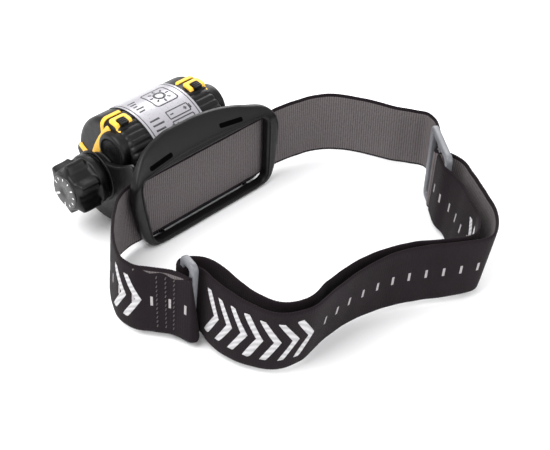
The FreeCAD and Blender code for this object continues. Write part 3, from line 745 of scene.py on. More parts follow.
    def strap(self, finish: bpy.types.Material) -> bpy.types.Object:
        """The webbing itself.

        The section is a flat superellipse: half thickness times the root of 1 - |w| ** 14 over
        the half width w, with thicker borders, and its edges swell once per knitted loop.
        """
        w = np.sin(np.linspace(-1, 1, self.across + 1) * math.pi / 2)
        flat = np.sqrt(np.clip(1 - np.abs(w) ** 14, 0, 1)) * (1 + 0.14 * (np.abs(w) > 0.9))
        w_loop = np.concatenate([w, w[-2:0:-1]])
        sign = np.concatenate([np.ones(len(w)), -np.ones(len(w) - 2)])
        t_loop = np.concatenate([flat, flat[-2:0:-1]]) * sign * self.thick / 2
        share = np.concatenate([(w + 1) / 2, 1 + (1 - w[-2:0:-1]) / 2])
        run = self.run[:, None]
        swell = 0.16 * np.abs(np.sin(math.pi * run / self.loop)) * np.abs(w_loop)[None, :] ** 30
        ripple = 0.05 * np.sin(2 * math.pi * run / 23.0) + 0.04 * np.sin(2 * math.pi * run / 9.1 + 1.0)
        height = 0.5 + w_loop[None, :] * (0.5 + swell / self.width)
        grid = self.at(run, height, t_loop[None, :] + ripple)
        verts, quads = patch(grid, wrap_v=True)
        n, m = grid.shape[:2]
        corner_u = np.array([0, 1, 1, 0])
        corner_v = np.array([0, 0, 1, 1])
        i, j = np.meshgrid(np.arange(n - 1), np.arange(m), indexing="ij")
        side = np.append(share, 2.0)
        uv = np.stack([self.run[i[..., None] + corner_u] * MM, side[j[..., None] + corner_v]], axis=-1)
        turned = outward(verts, quads)
        uv = uv.reshape(-1, 4, 2)
        ends = [np.arange(m), (n - 1) * m + np.arange(m)[::-1]]
        if turned is quads:
            ends = [end[::-1] for end in ends]
        else:
            uv = uv[:, ::-1]
        points, faces = capped(verts, turned, ends)
        cap_uv = np.tile(np.array([0.0, 0.2]), (3 * 2 * m, 1))
        piece = make_piece("elastic_strap", [(placed(points), faces)], Body.HEADBAND,
                           np.vstack([uv.reshape(-1, 2), cap_uv]))
        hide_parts("strap_left_run", "strap_window_run", "strap_far_run", "strap_rear_outer",
                    "strap_rear_inner", "strap_left_return", "strap_rear_turn")
        dress(piece, finish)
        return piece

    def raised(self, run: Array, height: Array, rise: float) -> tuple[Array, list]:
        """A low pad on the webbing, given by a grid of runs and heights.

        The pad stands rise above the face in its middle and dives 0.2 mm under it at its rim.
        """
        nu, nv = run.shape
        a = np.linspace(-1, 1, nu)[:, None]
        b = np.linspace(-1, 1, nv)[None, :]
        crown = np.clip(1 - np.abs(a) ** 6, 0, 1) ** 0.5 * np.clip(1 - np.abs(b) ** 6, 0, 1) ** 0.5
        face = self.thick / 2 if rise > 0 else -self.thick / 2
        top = self.at(run, height, face - 0.2 * np.sign(rise) + (rise + 0.2 * np.sign(rise)) * crown)
        foot = self.at(run, height, np.full_like(run, face - 0.3 * np.sign(rise)))
        verts, quads = patch(np.concatenate([top, foot[:, ::-1]], axis=1), wrap_v=True)
        return verts, outward(verts, quads).tolist() + tube_caps(nu, 2 * nv)

    def woven_marks(self, finish: bpy.types.Material) -> bpy.types.Object:
        """Light slanted bars woven into the outer face in groups, as a plain repeating mark."""
        parts = []
        groups = ((self.turn_end + self.mark_start, self.mark_count), (self.run_near(*self.far_mark), 2),
                  (self.run_near(*self.left_mark, self.half_way), 2))
        for start, count in groups:
            for k in range(count):
                a = np.linspace(0, 3.6, 5)[:, None]
                b = np.linspace(0, 1, 15)[None, :]
                kink = np.abs(b - 0.5) * 2
                run = start + self.mark_pitch * k + a + 6.0 * (1 - kink)
                height = 0.14 + 0.72 * b + 0 * a
                parts.append(self.raised(run, height, 0.22))
        parts = [(placed(v), f) for v, f in parts]
        piece = make_piece("woven_marks", parts, Body.HEADBAND)
        dress(piece, finish)
        return piece

    @property
    def turn_end(self) -> float:
        """Run at which the webbing leaves the ring for the outer rear stretch."""
        return self.run_near(-64.6, -25.5, self.turn_after)

    @property
    def marked(self) -> tuple[float, float]:
        """Runs between which the big woven mark takes the place of the dashes."""
        start = self.turn_end
        return start, start + self.mark_start + self.mark_pitch * self.mark_count + 6

    def stitches(self, finish: bpy.types.Material) -> bpy.types.Object:
        """Sewing at the folded end, at the ring and beside the slider: rows of short raised threads."""
        parts = []
        flap = self.run_near(-76.5, -14.0, self.turn_end)
        near = self.run_near(47.5, -66.8, self.turn_end)
        for start, spacing in ((flap, 3.4), (near, 3.0)):
            for column in range(3):
                at = start + spacing * column
                for k in range(12):
                    low = 0.10 + 0.068 * k
                    a = np.linspace(-0.28, 0.28, 4)[:, None]
                    b = np.linspace(0, 1, 6)[None, :]
                    run = at + a + 0.5 * b
                    parts.append(self.raised(run, low + 0.05 * b + 0 * a, 0.28))
        parts = [(placed(v), f) for v, f in parts]
        piece = make_piece("strap_stitching", parts, Body.HEADBAND)
        dress(piece, finish)
        return piece


def stood(verts: Array, x: float, y: float, heading: float, lean: float) -> Array:
    """Lean a buckle about its run, turn it to a heading and stand it on the ground."""
    turn = Matrix.Rotation(math.radians(heading), 3, "Z") @ Matrix.Rotation(math.radians(lean), 3, "X")
    points = np.asarray(verts) @ np.array(turn).T + np.array([x, y, 0.0])
    points[:, 2] -= points[:, 2].min()
    return placed(points)


@dataclass
class Buckles:
    """The left ring and the three-bar slider, moulded in grey plastic.

    Each stand is a place on the ground, a heading and a lean in degrees.
    """

    height: float = 37.4
    bar: float = 3.0
    thick: float = 3.0
    ring_w: float = 10.0
    slider_w: float = 26.0
    ring_stand: tuple[float, float, float, float] = (-68.4, -22.0, 77.0, 5.0)
    slider_stand: tuple[float, float, float, float] = (59.0, -38.0, 53.0, 0.0)

    def hoop(self, width: float) -> tuple[Array, Array]:
        """Outer frame of a buckle: a rounded section carried round a rounded rectangle."""
        inner = rounded_rect(width / 2 - self.bar, self.height / 2 - self.bar, 1.2)
        outer = rounded_rect(width / 2, self.height / 2, 2.8)
        verts, quads = band(inner, outer, even(0.0), even(self.thick / 2), 28, 0.5)
        return verts[:, [0, 2, 1]], quads[:, ::-1]

    def middle_bar(self) -> tuple[Array, Array]:
        """The slider's middle bar: an upright rounded prism with a row of grip ridges."""
        reach = self.height / 2 - self.bar + 0.8
        z = np.linspace(-reach, reach, 90)[:, None]
        phi = np.linspace(0, 2 * math.pi, 24, endpoint=False)[None, :]
        ridge = 1 + 0.07 * np.sin(z * 2 * math.pi / 2.2)
        x = self.bar / 2 * spow(np.cos(phi), 0.6) * ridge
        y = self.thick / 2 * 0.9 * spow(np.sin(phi), 0.6) * ridge
        verts, quads = patch(np.stack(np.broadcast_arrays(x, y, z), axis=-1), wrap_v=True)
        return verts, outward(verts, quads)

    def build(self, finish: bpy.types.Material) -> None:
        """Make both buckles."""
        ring_verts, ring_quads = self.hoop(self.ring_w)
        ring = make_piece("strap_ring", [(stood(ring_verts, *self.ring_stand), ring_quads)], Body.HEADBAND)
        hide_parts("ring_left")
        hoop_verts, hoop_quads = self.hoop(self.slider_w)
        bar_verts, bar_quads = self.middle_bar()
        both = stood(np.vstack([hoop_verts, bar_verts]), *self.slider_stand)
        split = len(hoop_verts)
        parts = [(both[:split], hoop_quads), (both[split:], bar_quads)]
        slider = make_piece("strap_slider", parts, Body.HEADBAND)
        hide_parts("slider_right")
        for piece in (ring, slider):
            dress(piece, finish)


@dataclass
class ForeheadFrame:
    """Moulded frame round the strap with a hood that leans over the lamp."""

    middle_x: float = -12.2
    width: float = 82.5
    back_y: float = 25.5
    thick: float = 4.6
    top: float = 47.0
    right_shoulder: float = 29.0
    window_w: float = 66.5
    window_h: float = 33.4
    window_z: float = 2.5
    lean_z: float = 35.8
    reach: float = 7.4
    slot_places: tuple[tuple[float, float, float], ...] = ((-37.0, 39.6, 0.10), (1.5, 40.4, -0.12))

    def outline(self) -> Array:
        """Front view of the frame: flat foot, sides that taper to it and an arched top."""
        left = self.middle_x - self.width / 2
        right = self.middle_x + self.width / 2
        top = self.top
        points = [(left + 16, 0), (self.middle_x - 12, 0), (self.middle_x + 12, 0), (right - 14, 0),
                  (right - 6.4, 1.9), (right - 3.2, 8), (right - 1.9, 18),
                  (right - 1.4, self.right_shoulder), (right - 5, 37.2), (right - 17, 42.6),
                  (self.middle_x - 2, top), (left + 22, top - 0.4),
                  (left + 8.5, top - 4.6), (left + 1.5, top - 12.4), (left + 0.3, top - 20),
                  (left + 2.0, 17), (left + 4.2, 8), (left + 8.2, 1.9)]
        loop = smooth_path(np.array(points, float), 0.5, closed=True)
        loop[:, 1] = np.clip(loop[:, 1], 0.0, top)
        return loop

    def window(self) -> Array:
        """The opening: a rounded rectangle whose width grows evenly towards its top."""
        plain = rounded_rect(self.window_w / 2, self.window_h / 2, 4.2, 40, 12)
        share = (plain[:, 1] + self.window_h / 2) / self.window_h
        grow = 0.965 + 0.085 * share
        middle = self.middle_x + 0.6 - 2.4 * share
        up = plain[:, 1] + self.window_z + self.window_h / 2
        return np.stack([middle + plain[:, 0] * grow, up], axis=1)

    def hood_lean(self, z: Array) -> Array:
        """How far forward the frame leans at a height: a smooth ramp above the strap."""
        t = np.clip((z - self.lean_z + 2.0) / (self.top - self.lean_z + 2.0), 0, 1)
        return self.reach * t * (0.35 + 0.65 * t)

    def build(self, finish: bpy.types.Material, dark: bpy.types.Material) -> None:
        """Make the frame, its lip and the slots in the hood."""
        centre = (self.middle_x, self.window_z + self.window_h / 2)
        inner = self.window()
        outer = same_bearing(self.outline(), inner, centre, self.window_h / self.window_w)
        middle = self.back_y + self.thick / 2

        def depth(flat: Array, s: Array) -> Array:
            """Middle depth of the frame at a place."""
            return middle + self.hood_lean(flat[..., 1])

        def half(flat: Array, s: Array) -> Array:
            """Half the frame's thickness, which thins towards the hood's edge."""
            high = np.clip((flat[..., 1] - self.lean_z) / (self.top - self.lean_z), 0, 1)
            return self.thick / 2 * (1 - 0.42 * high)

        verts, quads = band(inner, outer, depth, half, 56, 0.42)
        ridge_in = inner + (outer - inner) * 0.16
        ridge_out = inner + (outer - inner) * 0.30
        lip_verts, lip_quads = band(
            ridge_in, ridge_out, lambda f, s: depth(f, s) - half(f, s) - 0.05, even(0.28), 16, 0.8)
        parts = [upright(verts, quads), upright(lip_verts, lip_quads)]
        frame = make_piece("forehead_frame_moulding", parts, Body.HEADBAND)
        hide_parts("forehead_frame")
        dress(frame, finish)
        self.slots(dark)

    def slots(self, dark: bpy.types.Material) -> None:
        """Two narrow slots in the back of the hood, as thin near-black matt pads: painted shade of the
        slots.
        """
        parts = []
        for x, z, tilt in self.slot_places:
            loop = rounded_rect(6.2, 0.85, 0.8, 8, 6)
            turned = loop @ np.array([[math.cos(tilt), math.sin(tilt)], [-math.sin(tilt), math.cos(tilt)]])
            core = turned * 0.02 + np.array([x, z])
            out = turned + np.array([x, z])

            def depth(flat: Array, s: Array) -> Array:
                """Depth of the hood's rear face at a place."""
                high = np.clip((flat[..., 1] - self.lean_z) / (self.top - self.lean_z), 0, 1)
                return self.back_y + 0.21 * self.thick * high + self.hood_lean(flat[..., 1]) - 0.05

            v, q = band(core, out, depth, even(0.16), 24, 0.5)
            parts.append(upright(v, q))
        piece = make_piece("hood_slots", parts, Body.HEADBAND)
        # the slot pads are painted shade: near-black matt for the slot openings
        dress(piece, dark)


@dataclass
class Bracket:
    """Front plate behind the strap and the two cradle arms that carry the lamp."""

    plate_y: float = 32.1
    plate_t: float = 1.4
    left: float = -47.45
    right: float = 23.05
    top: float = 36.0
    foot: float = 0.4
    arm_t: float = 3.0
    arm_x: tuple[float, float] = (-48.05, 14.05)
    bore: float = 6.05
    boss_r: tuple[float, float] = (9.6, 11.4)
    opening: tuple[float, float] = (20.0, 9.5)
    opening_z: float = 18.5

    def arm(self, x0: float) -> tuple[Array, Array]:
        """One arm: a rounded band between the pivot bore and the cradle outline."""
        low = AXIS_Z - 19.5
        y0 = self.plate_y
        points = [(y0, low + 3), (y0 + 4, low + 0.3), (AXIS_Y - 12, low), (AXIS_Y + 4, low),
                  (AXIS_Y + 12.5, low + 5), (AXIS_Y + 17.5, low + 13), (AXIS_Y + 17.0, low + 18.5),
                  (AXIS_Y + 13, low + 23), (AXIS_Y + 5, low + 27), (AXIS_Y - 3, low + 28),
                  (AXIS_Y - 10, low + 29.4), (AXIS_Y - 17, low + 32.4), (y0 + 2.5, low + 35.4),
                  (y0, low + 33.5), (y0, low + 18)]
        outline = smooth_path(np.array(points, float), 0.5, closed=True)
        turn = np.linspace(0, 2 * math.pi, 160, endpoint=False)
        hole = np.stack([AXIS_Y + self.bore * np.cos(turn), AXIS_Z + self.bore * np.sin(turn)], axis=1)
        outer = same_bearing(outline, hole, (AXIS_Y, AXIS_Z))
        middle = x0 + self.arm_t / 2
        v, q = band(hole, outer, even(middle), even(self.arm_t / 2), 40, 0.28)
        return v[:, [2, 0, 1]], q

    def boss(self, x0: float) -> tuple[Array, Array]:
        """Raised ring round the pivot bore on an arm's outer face."""
        turn = np.linspace(0, 2 * math.pi, 96, endpoint=False)
        ring = np.stack([np.cos(turn), np.sin(turn)], axis=1)
        centre = np.array([AXIS_Y, AXIS_Z])
        low, high = self.boss_r
        v, q = band(centre + low * ring, centre + high * ring, even(x0), even(0.5), 16, 0.8)
        return v[:, [2, 0, 1]], q

    def build(self, finish: bpy.types.Material) -> None:
        """Make the plate with its opening and the arms, as one moulding."""
        centre = np.array([(self.left + self.right) / 2, (self.top + self.foot) / 2])
        outer = rounded_rect((self.right - self.left) / 2, (self.top - self.foot) / 2, 5.0, 30, 10) + centre
        opening = rounded_rect(*self.opening, 3.0, 30, 10) + np.array([LAMP_X, self.opening_z])
        v, q = band(opening, outer, even(self.plate_y + self.plate_t / 2), even(self.plate_t / 2), 32, 0.3)
        parts = [upright(v, q)]
        for x0 in self.arm_x:
            v, q = self.arm(x0)
            parts.append((placed(v), outward(v, q)))
        for x0 in (self.arm_x[0], self.arm_x[1] + self.arm_t):
            v, q = self.boss(x0)
            parts.append((placed(v), outward(v, q)))
        piece = make_piece("yoke_bracket", parts, Body.HEADBAND)
        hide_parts("bracket")
        dress(piece, finish)


@dataclass
class Selector:
    """Lobed rotary knob with a marked face."""

    inner_x: float = -48.65
    length: float = 15.6
    radius: float = 9.5
    lobes: int = 6
    tick_r: float = 6.6
    pointer_at: float = 330.0
    crest: float = 3.0

    def knob(self, finish: bpy.types.Material) -> None:
        """The knob: a turned profile whose grip stretch swells into round lobes.

        The radius is the profile's, plus the crest height times the lobes' cosine raised to a soft
        power, faded in and out over the grip stretch.
        """
        r = self.radius
        length = self.length
        profile = [(0.0, 0.01), (0.0, 5.0), (0.0, r - 2.2), (0.25, r - 1.3), (0.9, r - 0.6),
                   (1.6, r - 0.2), (3.0, r), (5.0, r), (7.0, r), (9.0, r + 0.1), (10.4, r + 0.4),
                   (10.9, r + 1.1), (11.4, r + 1.4), (13.6, r + 1.4), (14.2, r + 1.1),
                   (length, r + 0.4), (length, r - 2.0), (length, 0.01)]
        fine = smooth_profile(profile, 4)

        def waves(turn: Array, share: Array) -> Array:
            """Radius factor of the lobes at an angle and a share of the profile."""
            along = np.interp(share, np.linspace(0, 1, len(fine)), fine[:, 0])
            radius = np.interp(share, np.linspace(0, 1, len(fine)), fine[:, 1])
            fade = np.clip((along - 0.3) / 1.2, 0, 1) * np.clip((11.0 - along) / 1.5, 0, 1)
            fade = fade * (radius > r - 1.6)
            lobe = (0.5 + 0.5 * np.cos(self.lobes * (turn - math.radians(30.0)))) ** 2.4
            return 1 + fade * (self.crest * lobe - 0.5) / r

        outer_x = self.inner_x - length
        v, q = lathe(fine, ALONG_X, (outer_x, AXIS_Y, AXIS_Z), 216, waves)
        piece = make_piece("selector_knob_moulding", [(placed(v), q)], Body.SELECTOR)
        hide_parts("selector_knob")
        dress(piece, finish)

    def face(self, finish: bpy.types.Material, paint: bpy.types.Material) -> None:
        """Round face with a dimple, and its printed marks: ticks round the rim and a pointer."""
        outer_x = self.inner_x - self.length
        profile = smooth_profile([(0.0, 0.01), (-0.02, 1.6), (-0.35, 2.4), (-0.55, 3.4), (-0.6, 5.0),
                                  (-0.6, 6.4), (-0.5, 7.1), (-0.2, 7.4), (0.3, 7.4), (0.3, 4.0),
                                  (0.3, 0.01)], 4)
        v, q = lathe(profile, ALONG_X, (outer_x, AXIS_Y, AXIS_Z), 96)
        piece = make_piece("selector_face", [(placed(v), q)], Body.SELECTOR)
        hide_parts("knob_face")
        dress(piece, finish)
        marks = []
        for k in range(9):
            turn = math.radians(30.0 + 30.0 * k)
            long = 1.7 if k in (0, 4, 8) else 1.1
            marks.append(self.tick(turn, self.tick_r - long, self.tick_r, 0.45, outer_x))
        marks.append(self.tick(math.radians(self.pointer_at), 3.4, 6.2, 0.8, outer_x))
        piece = make_piece("selector_marks", marks, Body.SELECTOR)
        dress(piece, paint)

    def tick(self, turn: float, low: float, high: float, width: float, x: float) -> tuple[Array, list]:
        """One printed tick: a thin slab on the face, laid along a radius."""
        loop = rounded_rect((high - low) / 2, width / 2, 0.15, 3, 3) + np.array([(high + low) / 2, 0.0])
        v, faces = slab(loop, 0.0, 0.25, 0.05, 2)
        c, s = math.cos(turn), math.sin(turn)
        points = np.stack([x - 0.45 - v[:, 2], AXIS_Y + c * v[:, 0] - s * v[:, 1],
                           AXIS_Z + s * v[:, 0] + c * v[:, 1]], axis=1)
        return placed(points), [f[::-1] for f in faces]


def smooth_profile(points: Pairs, fine: int) -> Array:
    """Round off a given profile: each span is cut into short steps of a smooth curve."""
    pts = np.asarray(points, float)
    for _ in range(2):
        cut = np.empty((2 * len(pts) - 2, 2))
        cut[0::2] = 0.75 * pts[:-1] + 0.25 * pts[1:]
        cut[1::2] = 0.25 * pts[:-1] + 0.75 * pts[1:]
        pts = np.vstack([pts[:1], cut, pts[-1:]])
    share = np.linspace(0, 1, len(pts))
    dense = np.linspace(0, 1, len(pts) * max(fine // 4, 1))
    return np.stack([np.interp(dense, share, pts[:, k]) for k in range(2)], axis=1)


@dataclass
class LampShells:
    """The moulded skins of the lamp: one radial surface about the tilt axis, cut at the seam."""

    radius: float = BARREL_R
    half: float = 25.0
    nose_tip: float = 30.0
    nose_reach: float = 23.0
    nose_half: float = 12.5
    wall: float = 1.8
    seam: float = 3.0
    trim: float = 1.2
    boss_r: float = 8.8
    boss_half: float = 28.35
    cell_back: float = 5.4
    cell_space: float = 23.8
    lens_half: tuple[float, float] = (16.6, 7.6)
    latch_at: float = 99.0
    latch_x: float = 20.0
    tongue_half: float = 15.6
    end_round: float = 2.8
    pivot_r: float = 6.0
    seal_climb: Pairs = ((9.6, -2.6), (10.2, 0.4), (8.4, 5.5), (5.6, 10.5), (2.6, 15.0), (-0.2, 18.6),
                         (-1.6, 20.4))
    seal_branch: Pairs = ((9.9, -1.4), (13.5, -1.0), (17.5, 0.3), (20.6, 2.4))
    hinge_relief: tuple[float, float, int] = (8.4, 21.7, 1)

    def reach(self, turn: Array) -> Array:
        """Distance of the skin from the tilt axis at an angle, zero pointing forward.

        The nose is a superellipse turned down by its tip angle, the barrel is a circle, and the
        two are joined by a soft maximum.
        """
        c = np.cos(turn + math.radians(self.nose_tip))
        s = np.abs(np.sin(turn + math.radians(self.nose_tip))) + 1e-9
        power = 10.0
        nose = ((np.abs(c) / self.nose_reach) ** power + (s / self.nose_half) ** power) ** (-1 / power)
        nose = np.where(c > 0, nose, 0.0)
        k = 60.0
        scale = self.radius
        return scale * ((nose / scale) ** k + 1.0) ** (1 / k)

    def body(self, inset: float, around: int = 288, ribs: float = 0.0) -> tuple[Array, Array]:
        """The whole closed skin, drawn in by an inset.

        Along the axis the radius follows a flat-ended capsule: full over the length and rounded
        by a small radius at each end wall. Fine ribs run along the axis over the back of the barrel.
        """
        edge = self.end_round
        corner = np.linspace(0, math.pi / 2, 9)
        half = self.half - inset
        middle = np.linspace(-half + edge, half - edge, 60)[1:-1]
        along = np.concatenate([-half + edge * (1 - np.sin(corner[::-1])), middle,
                                half - edge * (1 - np.sin(corner))])
        draw = np.concatenate([edge * (1 - np.cos(corner[::-1])), 0 * middle, edge * (1 - np.cos(corner))])
        inner = np.linspace(0.0, 1.0, 8)[:-1]
        along = np.concatenate([np.full(len(inner), -half), along, np.full(len(inner), half)])
        turn = np.linspace(-math.pi, math.pi, around, endpoint=False)[:, None]
        full = self.reach(turn) - inset
        if ribs:
            back = np.clip((-np.cos(turn) - 0.02) / 0.12, 0, 1)
            full = full - ribs * back * np.clip(np.sin(turn * 48), 0, 1) ** 0.8
        rim = full - edge
        radius = np.concatenate([rim * inner[None, :], full - draw[None, :],
                                 rim * inner[None, ::-1]], axis=1)
        x = LAMP_X + np.broadcast_to(along[None, :], radius.shape)
        points = np.stack([x, AXIS_Y + radius * np.cos(turn), AXIS_Z + radius * np.sin(turn)], axis=-1)
        verts, quads = patch(points, wrap_u=True)
        return verts, outward(verts, quads)

    def tipped(self, points: Array) -> Array:
        """Turn level points down with the nose, about the tilt axis."""
        a = math.radians(self.nose_tip)
        y = points[:, 1] - AXIS_Y
        z = points[:, 2] - AXIS_Z
        return np.stack([points[:, 0], AXIS_Y + y * math.cos(a) + z * math.sin(a),
                         AXIS_Z - y * math.sin(a) + z * math.cos(a)], axis=1)

    def cut_shell(self, name: str, planes: Sequence[tuple[float, float, int]], body: Body,
                  ribs: float) -> bpy.types.Object:
        """Keep what lies behind every plane of a double-walled skin and close the cut rims.

        Args:
            name: the piece's name.
            planes: distance ahead of the tilt axis, tip angle in degrees and the side cut away.
            body: the body it rides on.
            ribs: depth of the ribs on the back.
        """
        outer, quads = self.body(0.0, ribs=ribs)
        inner, inner_quads = self.body(self.wall)
        piece = make_piece(name, [(placed(outer), quads), (placed(inner), inner_quads[:, ::-1])], body)
        mesh = bmesh.new()
        mesh.from_mesh(piece.data)
        bmesh.ops.remove_doubles(mesh, verts=mesh.verts, dist=2e-6)
        for ahead, tip, way in planes:
            a = math.radians(tip)
            normal = Vector((0.0, math.cos(a), -math.sin(a)))
            axis = Vector((SHIFT[0] * MM, (AXIS_Y + SHIFT[1]) * MM, AXIS_Z * MM))
            geometry = mesh.verts[:] + mesh.edges[:] + mesh.faces[:]
            bmesh.ops.bisect_plane(mesh, geom=geometry, dist=1e-7, plane_co=axis + normal * ahead * MM,
                                   plane_no=normal * way, clear_outer=True)
            rim = [e for e in mesh.edges if e.is_boundary
                   and all(abs((v.co - axis).dot(normal) - ahead * MM) < 1e-6 for v in e.verts)]
            if rim:
                bmesh.ops.triangle_fill(mesh, edges=rim, use_beauty=True)
        bmesh.ops.recalc_face_normals(mesh, faces=mesh.faces)
        mesh.to_mesh(piece.data)
        mesh.free()
        crease(piece, 42.0)
        return piece

    def turned(self, side: float, profile: Pairs, y: float, z: float,
               count: int = 96) -> tuple[Array, Array]:
        """A turned stub on an end wall, from (distance along the axis, radius) pairs."""
        smooth = smooth_profile(profile, 4)
        smooth[:, 0] *= side
        return lathe(smooth, ALONG_X, (LAMP_X, AXIS_Y + y, AXIS_Z + z), count)

    def rear(self, finish: bpy.types.Material) -> None:
        """Battery housing: ribbed back cut clear of the cover's hinge, four boss caps, two pivots."""
        piece = self.cut_shell("battery_housing", [(self.seam, 0.0, 1), self.hinge_relief], Body.LAMP, 0.4)
        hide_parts("rear_shell")
        r = self.boss_r
        far = self.boss_half
        wall = self.half
        boss = [(wall - 3, 0.01), (wall - 3, r * 0.5), (wall - 3, r), (wall, r), (far - 1.6, r),
                (far - 0.3, r - 0.5), (far, r - 1.6), (far, r - 2.4), (far - 0.35, r - 2.9),
                (far - 0.3, r - 5.0), (far - 0.1, 0.01)]
        pivot = [(wall - 1, 0.01), (wall - 1, 3.0), (wall - 1, self.pivot_r), (wall + 2, self.pivot_r),
                 (32.2, self.pivot_r), (32.8, 5.6), (32.8, 3.0), (32.8, 0.01)]
        caps = []
        for side in (-1, 1):
            for z in (-1, 1):
                v, q = self.turned(side, boss, -self.cell_back, z * self.cell_space / 2)
                caps.append((placed(v), q))
            v, q = self.turned(side, pivot, 0.0, 0.0)
            caps.append((placed(v), q))
        bosses = make_piece("cell_boss_caps", caps, Body.LAMP)
        for item in (piece, bosses):
            dress(item, finish)

    def front(self, finish: bpy.types.Material) -> None:
        """Front cover: its skin, and the face round the lens."""
        planes = [(self.seam + self.trim, 0.0, -1), (self.nose_reach - 1.2, self.nose_tip, 1)]
        piece = self.cut_shell("front_cover_moulding", planes, Body.COVER, 0.0)
        outer_loop = rounded_rect(self.half - 1.6, self.nose_half - 1.0, 3.4, 30, 10)
        lens = rounded_rect(*self.lens_half, self.lens_half[1] - 0.01, 30, 10)
        middle = np.array([LAMP_X, AXIS_Z])
        front_y = AXIS_Y + self.nose_reach
        v, q = band(lens + middle, outer_loop + middle, even(front_y - 1.2), even(1.2), 32, 0.35)
        verts = placed(self.tipped(v[:, [0, 2, 1]]))
        face = make_piece("front_cover_face", [(verts, q[:, ::-1])], Body.COVER)
        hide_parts("front_shell")
        for item in (piece, face):
            dress(item, finish)

    def ribbon(self, path: Pairs, width: float, x: float, thick: float) -> tuple[Array, list]:
        """A flat soft strip on an end wall, with round edges.

        Args:
            path: (forward, up) places from the tilt axis.
            width: width of the strip.
            x: place of its middle plane along the axis.
            thick: its thickness.
        """
        line = smooth_path(np.array(path, float), 0.4)
        ahead = np.gradient(line, axis=0)
        ahead /= np.linalg.norm(ahead, axis=1)[:, None]
        left = np.stack([-ahead[:, 1], ahead[:, 0]], axis=1)
        phi = np.linspace(0, 2 * math.pi, 20, endpoint=False)[None, :]
        taper = np.sqrt(np.clip(1 - np.abs(np.linspace(-1, 1, len(line))) ** 40, 0.02, 1))[:, None]
        across = width / 2 * spow(np.cos(phi), 0.5) * taper
        y = AXIS_Y + line[:, :1] + left[:, :1] * across
        z = AXIS_Z + line[:, 1:] + left[:, 1:] * across
        xs = x + thick / 2 * spow(np.sin(phi), 0.6) * taper
        verts, quads = patch(np.stack(np.broadcast_arrays(xs, y, z), axis=-1), wrap_v=True)
        quads = outward(verts, quads)
        return placed(verts), quads.tolist() + tube_caps(len(line), phi.shape[1])

    def seal(self, finish: bpy.types.Material) -> None:
        """Soft seam seal with broad strips on the end walls, and the collars of the two latches.

        The bead is a ring with a boxy section that follows the seam plane's outline, and it
        runs lower where the label's tongue covers it.
        """
        plane = AXIS_Y + self.seam + self.trim / 2
        half_z = math.sqrt(self.radius**2 - (self.seam + self.trim / 2) ** 2)
        inner = rounded_rect(self.half - 1.9, half_z - 1.9, 2.0, 60, 10)
        outer = rounded_rect(self.half + 0.5, half_z + 0.7, 3.0, 60, 10)
        under = np.clip((self.tongue_half - np.abs(outer[:, 0])) / 0.6, 0, 1) * (outer[:, 1] > 0)
        outer[:, 1] -= 1.5 * under
        inner[:, 1] -= 1.0 * under
        centre = np.array([LAMP_X, AXIS_Z])
        v, q = band(inner + centre, outer + centre, even(plane),
                    lambda f, s: 0.62 + 0.7 * s**3 + 0 * f[..., 0], 28, 0.5)
        cover_parts = [upright(v, q)]
        for side in (-1, 1):
            x = LAMP_X + side * (self.half + 0.1)
            cover_parts.append(self.ribbon(self.seal_climb, 4.2, x, 0.9))
            cover_parts.append(self.ribbon(self.seal_branch, 3.2, x, 0.9))
        piece = make_piece("seam_seal", cover_parts, Body.COVER)
        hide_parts("seam_trim")
        collars = [self.collar(side) for side in (-1, 1)]
        surround = make_piece("latch_collars", collars, Body.LAMP)
        for item in (piece, surround):
            dress(item, finish)

    def collar(self, side: float) -> tuple[Array, Array]:
        """Raised soft collar round a latch, bent over the barrel and sunk under its skin at the back."""
        hole = rounded_rect(2.1, 2.2, 0.7, 10, 6)
        rim = rounded_rect(4.3, 4.2, 1.4, 10, 6)
        v, q = band(hole, rim, even(0.35), even(0.75), 20, 0.5)
        x = LAMP_X + side * self.latch_x
        angle = math.radians(self.latch_at) - v[:, 1] / self.radius
        sunk = 1.7 * np.clip((-v[:, 1] - 0.6) / 1.2, 0, 1)
        r = self.radius + v[:, 2] - sunk
        points = np.stack([x + v[:, 0], AXIS_Y + r * np.cos(angle), AXIS_Z + r * np.sin(angle)], axis=1)
        return placed(points), outward(points, q)

    def latches(self, finish: bpy.types.Material) -> None:
        """Snap hooks: rounded blocks with a ridged thumb pad, inside the collars."""
        parts = []
        for side in (-1, 1):
            u = np.linspace(-1, 1, 26)[:, None]
            phi = np.linspace(0, 2 * math.pi, 40, endpoint=False)[None, :]
            closing = np.clip(1 - np.abs(u) ** 10, 0, 1) ** 0.5
            x = LAMP_X + side * self.latch_x + 2.0 * spow(np.cos(phi), 0.35) * closing
            rise = 1.55 * spow(np.sin(phi), 0.35) * closing + 0.12 * np.sin(u * 14) * (np.sin(phi) > 0.3)
            angle = math.radians(self.latch_at) - 2.1 * u / self.radius
            r = self.radius + 0.3 + rise
            points = np.stack(np.broadcast_arrays(x, AXIS_Y + r * np.cos(angle),
                                                  AXIS_Z + r * np.sin(angle)), axis=-1)
            verts, quads = patch(points, wrap_v=True)
            parts.append((placed(verts), outward(verts, quads).tolist() + tube_caps(len(u), phi.shape[1])))
        piece = make_piece("latch_pads", parts, Body.LAMP)
        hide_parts("latch_hooks")
        dress(piece, finish)


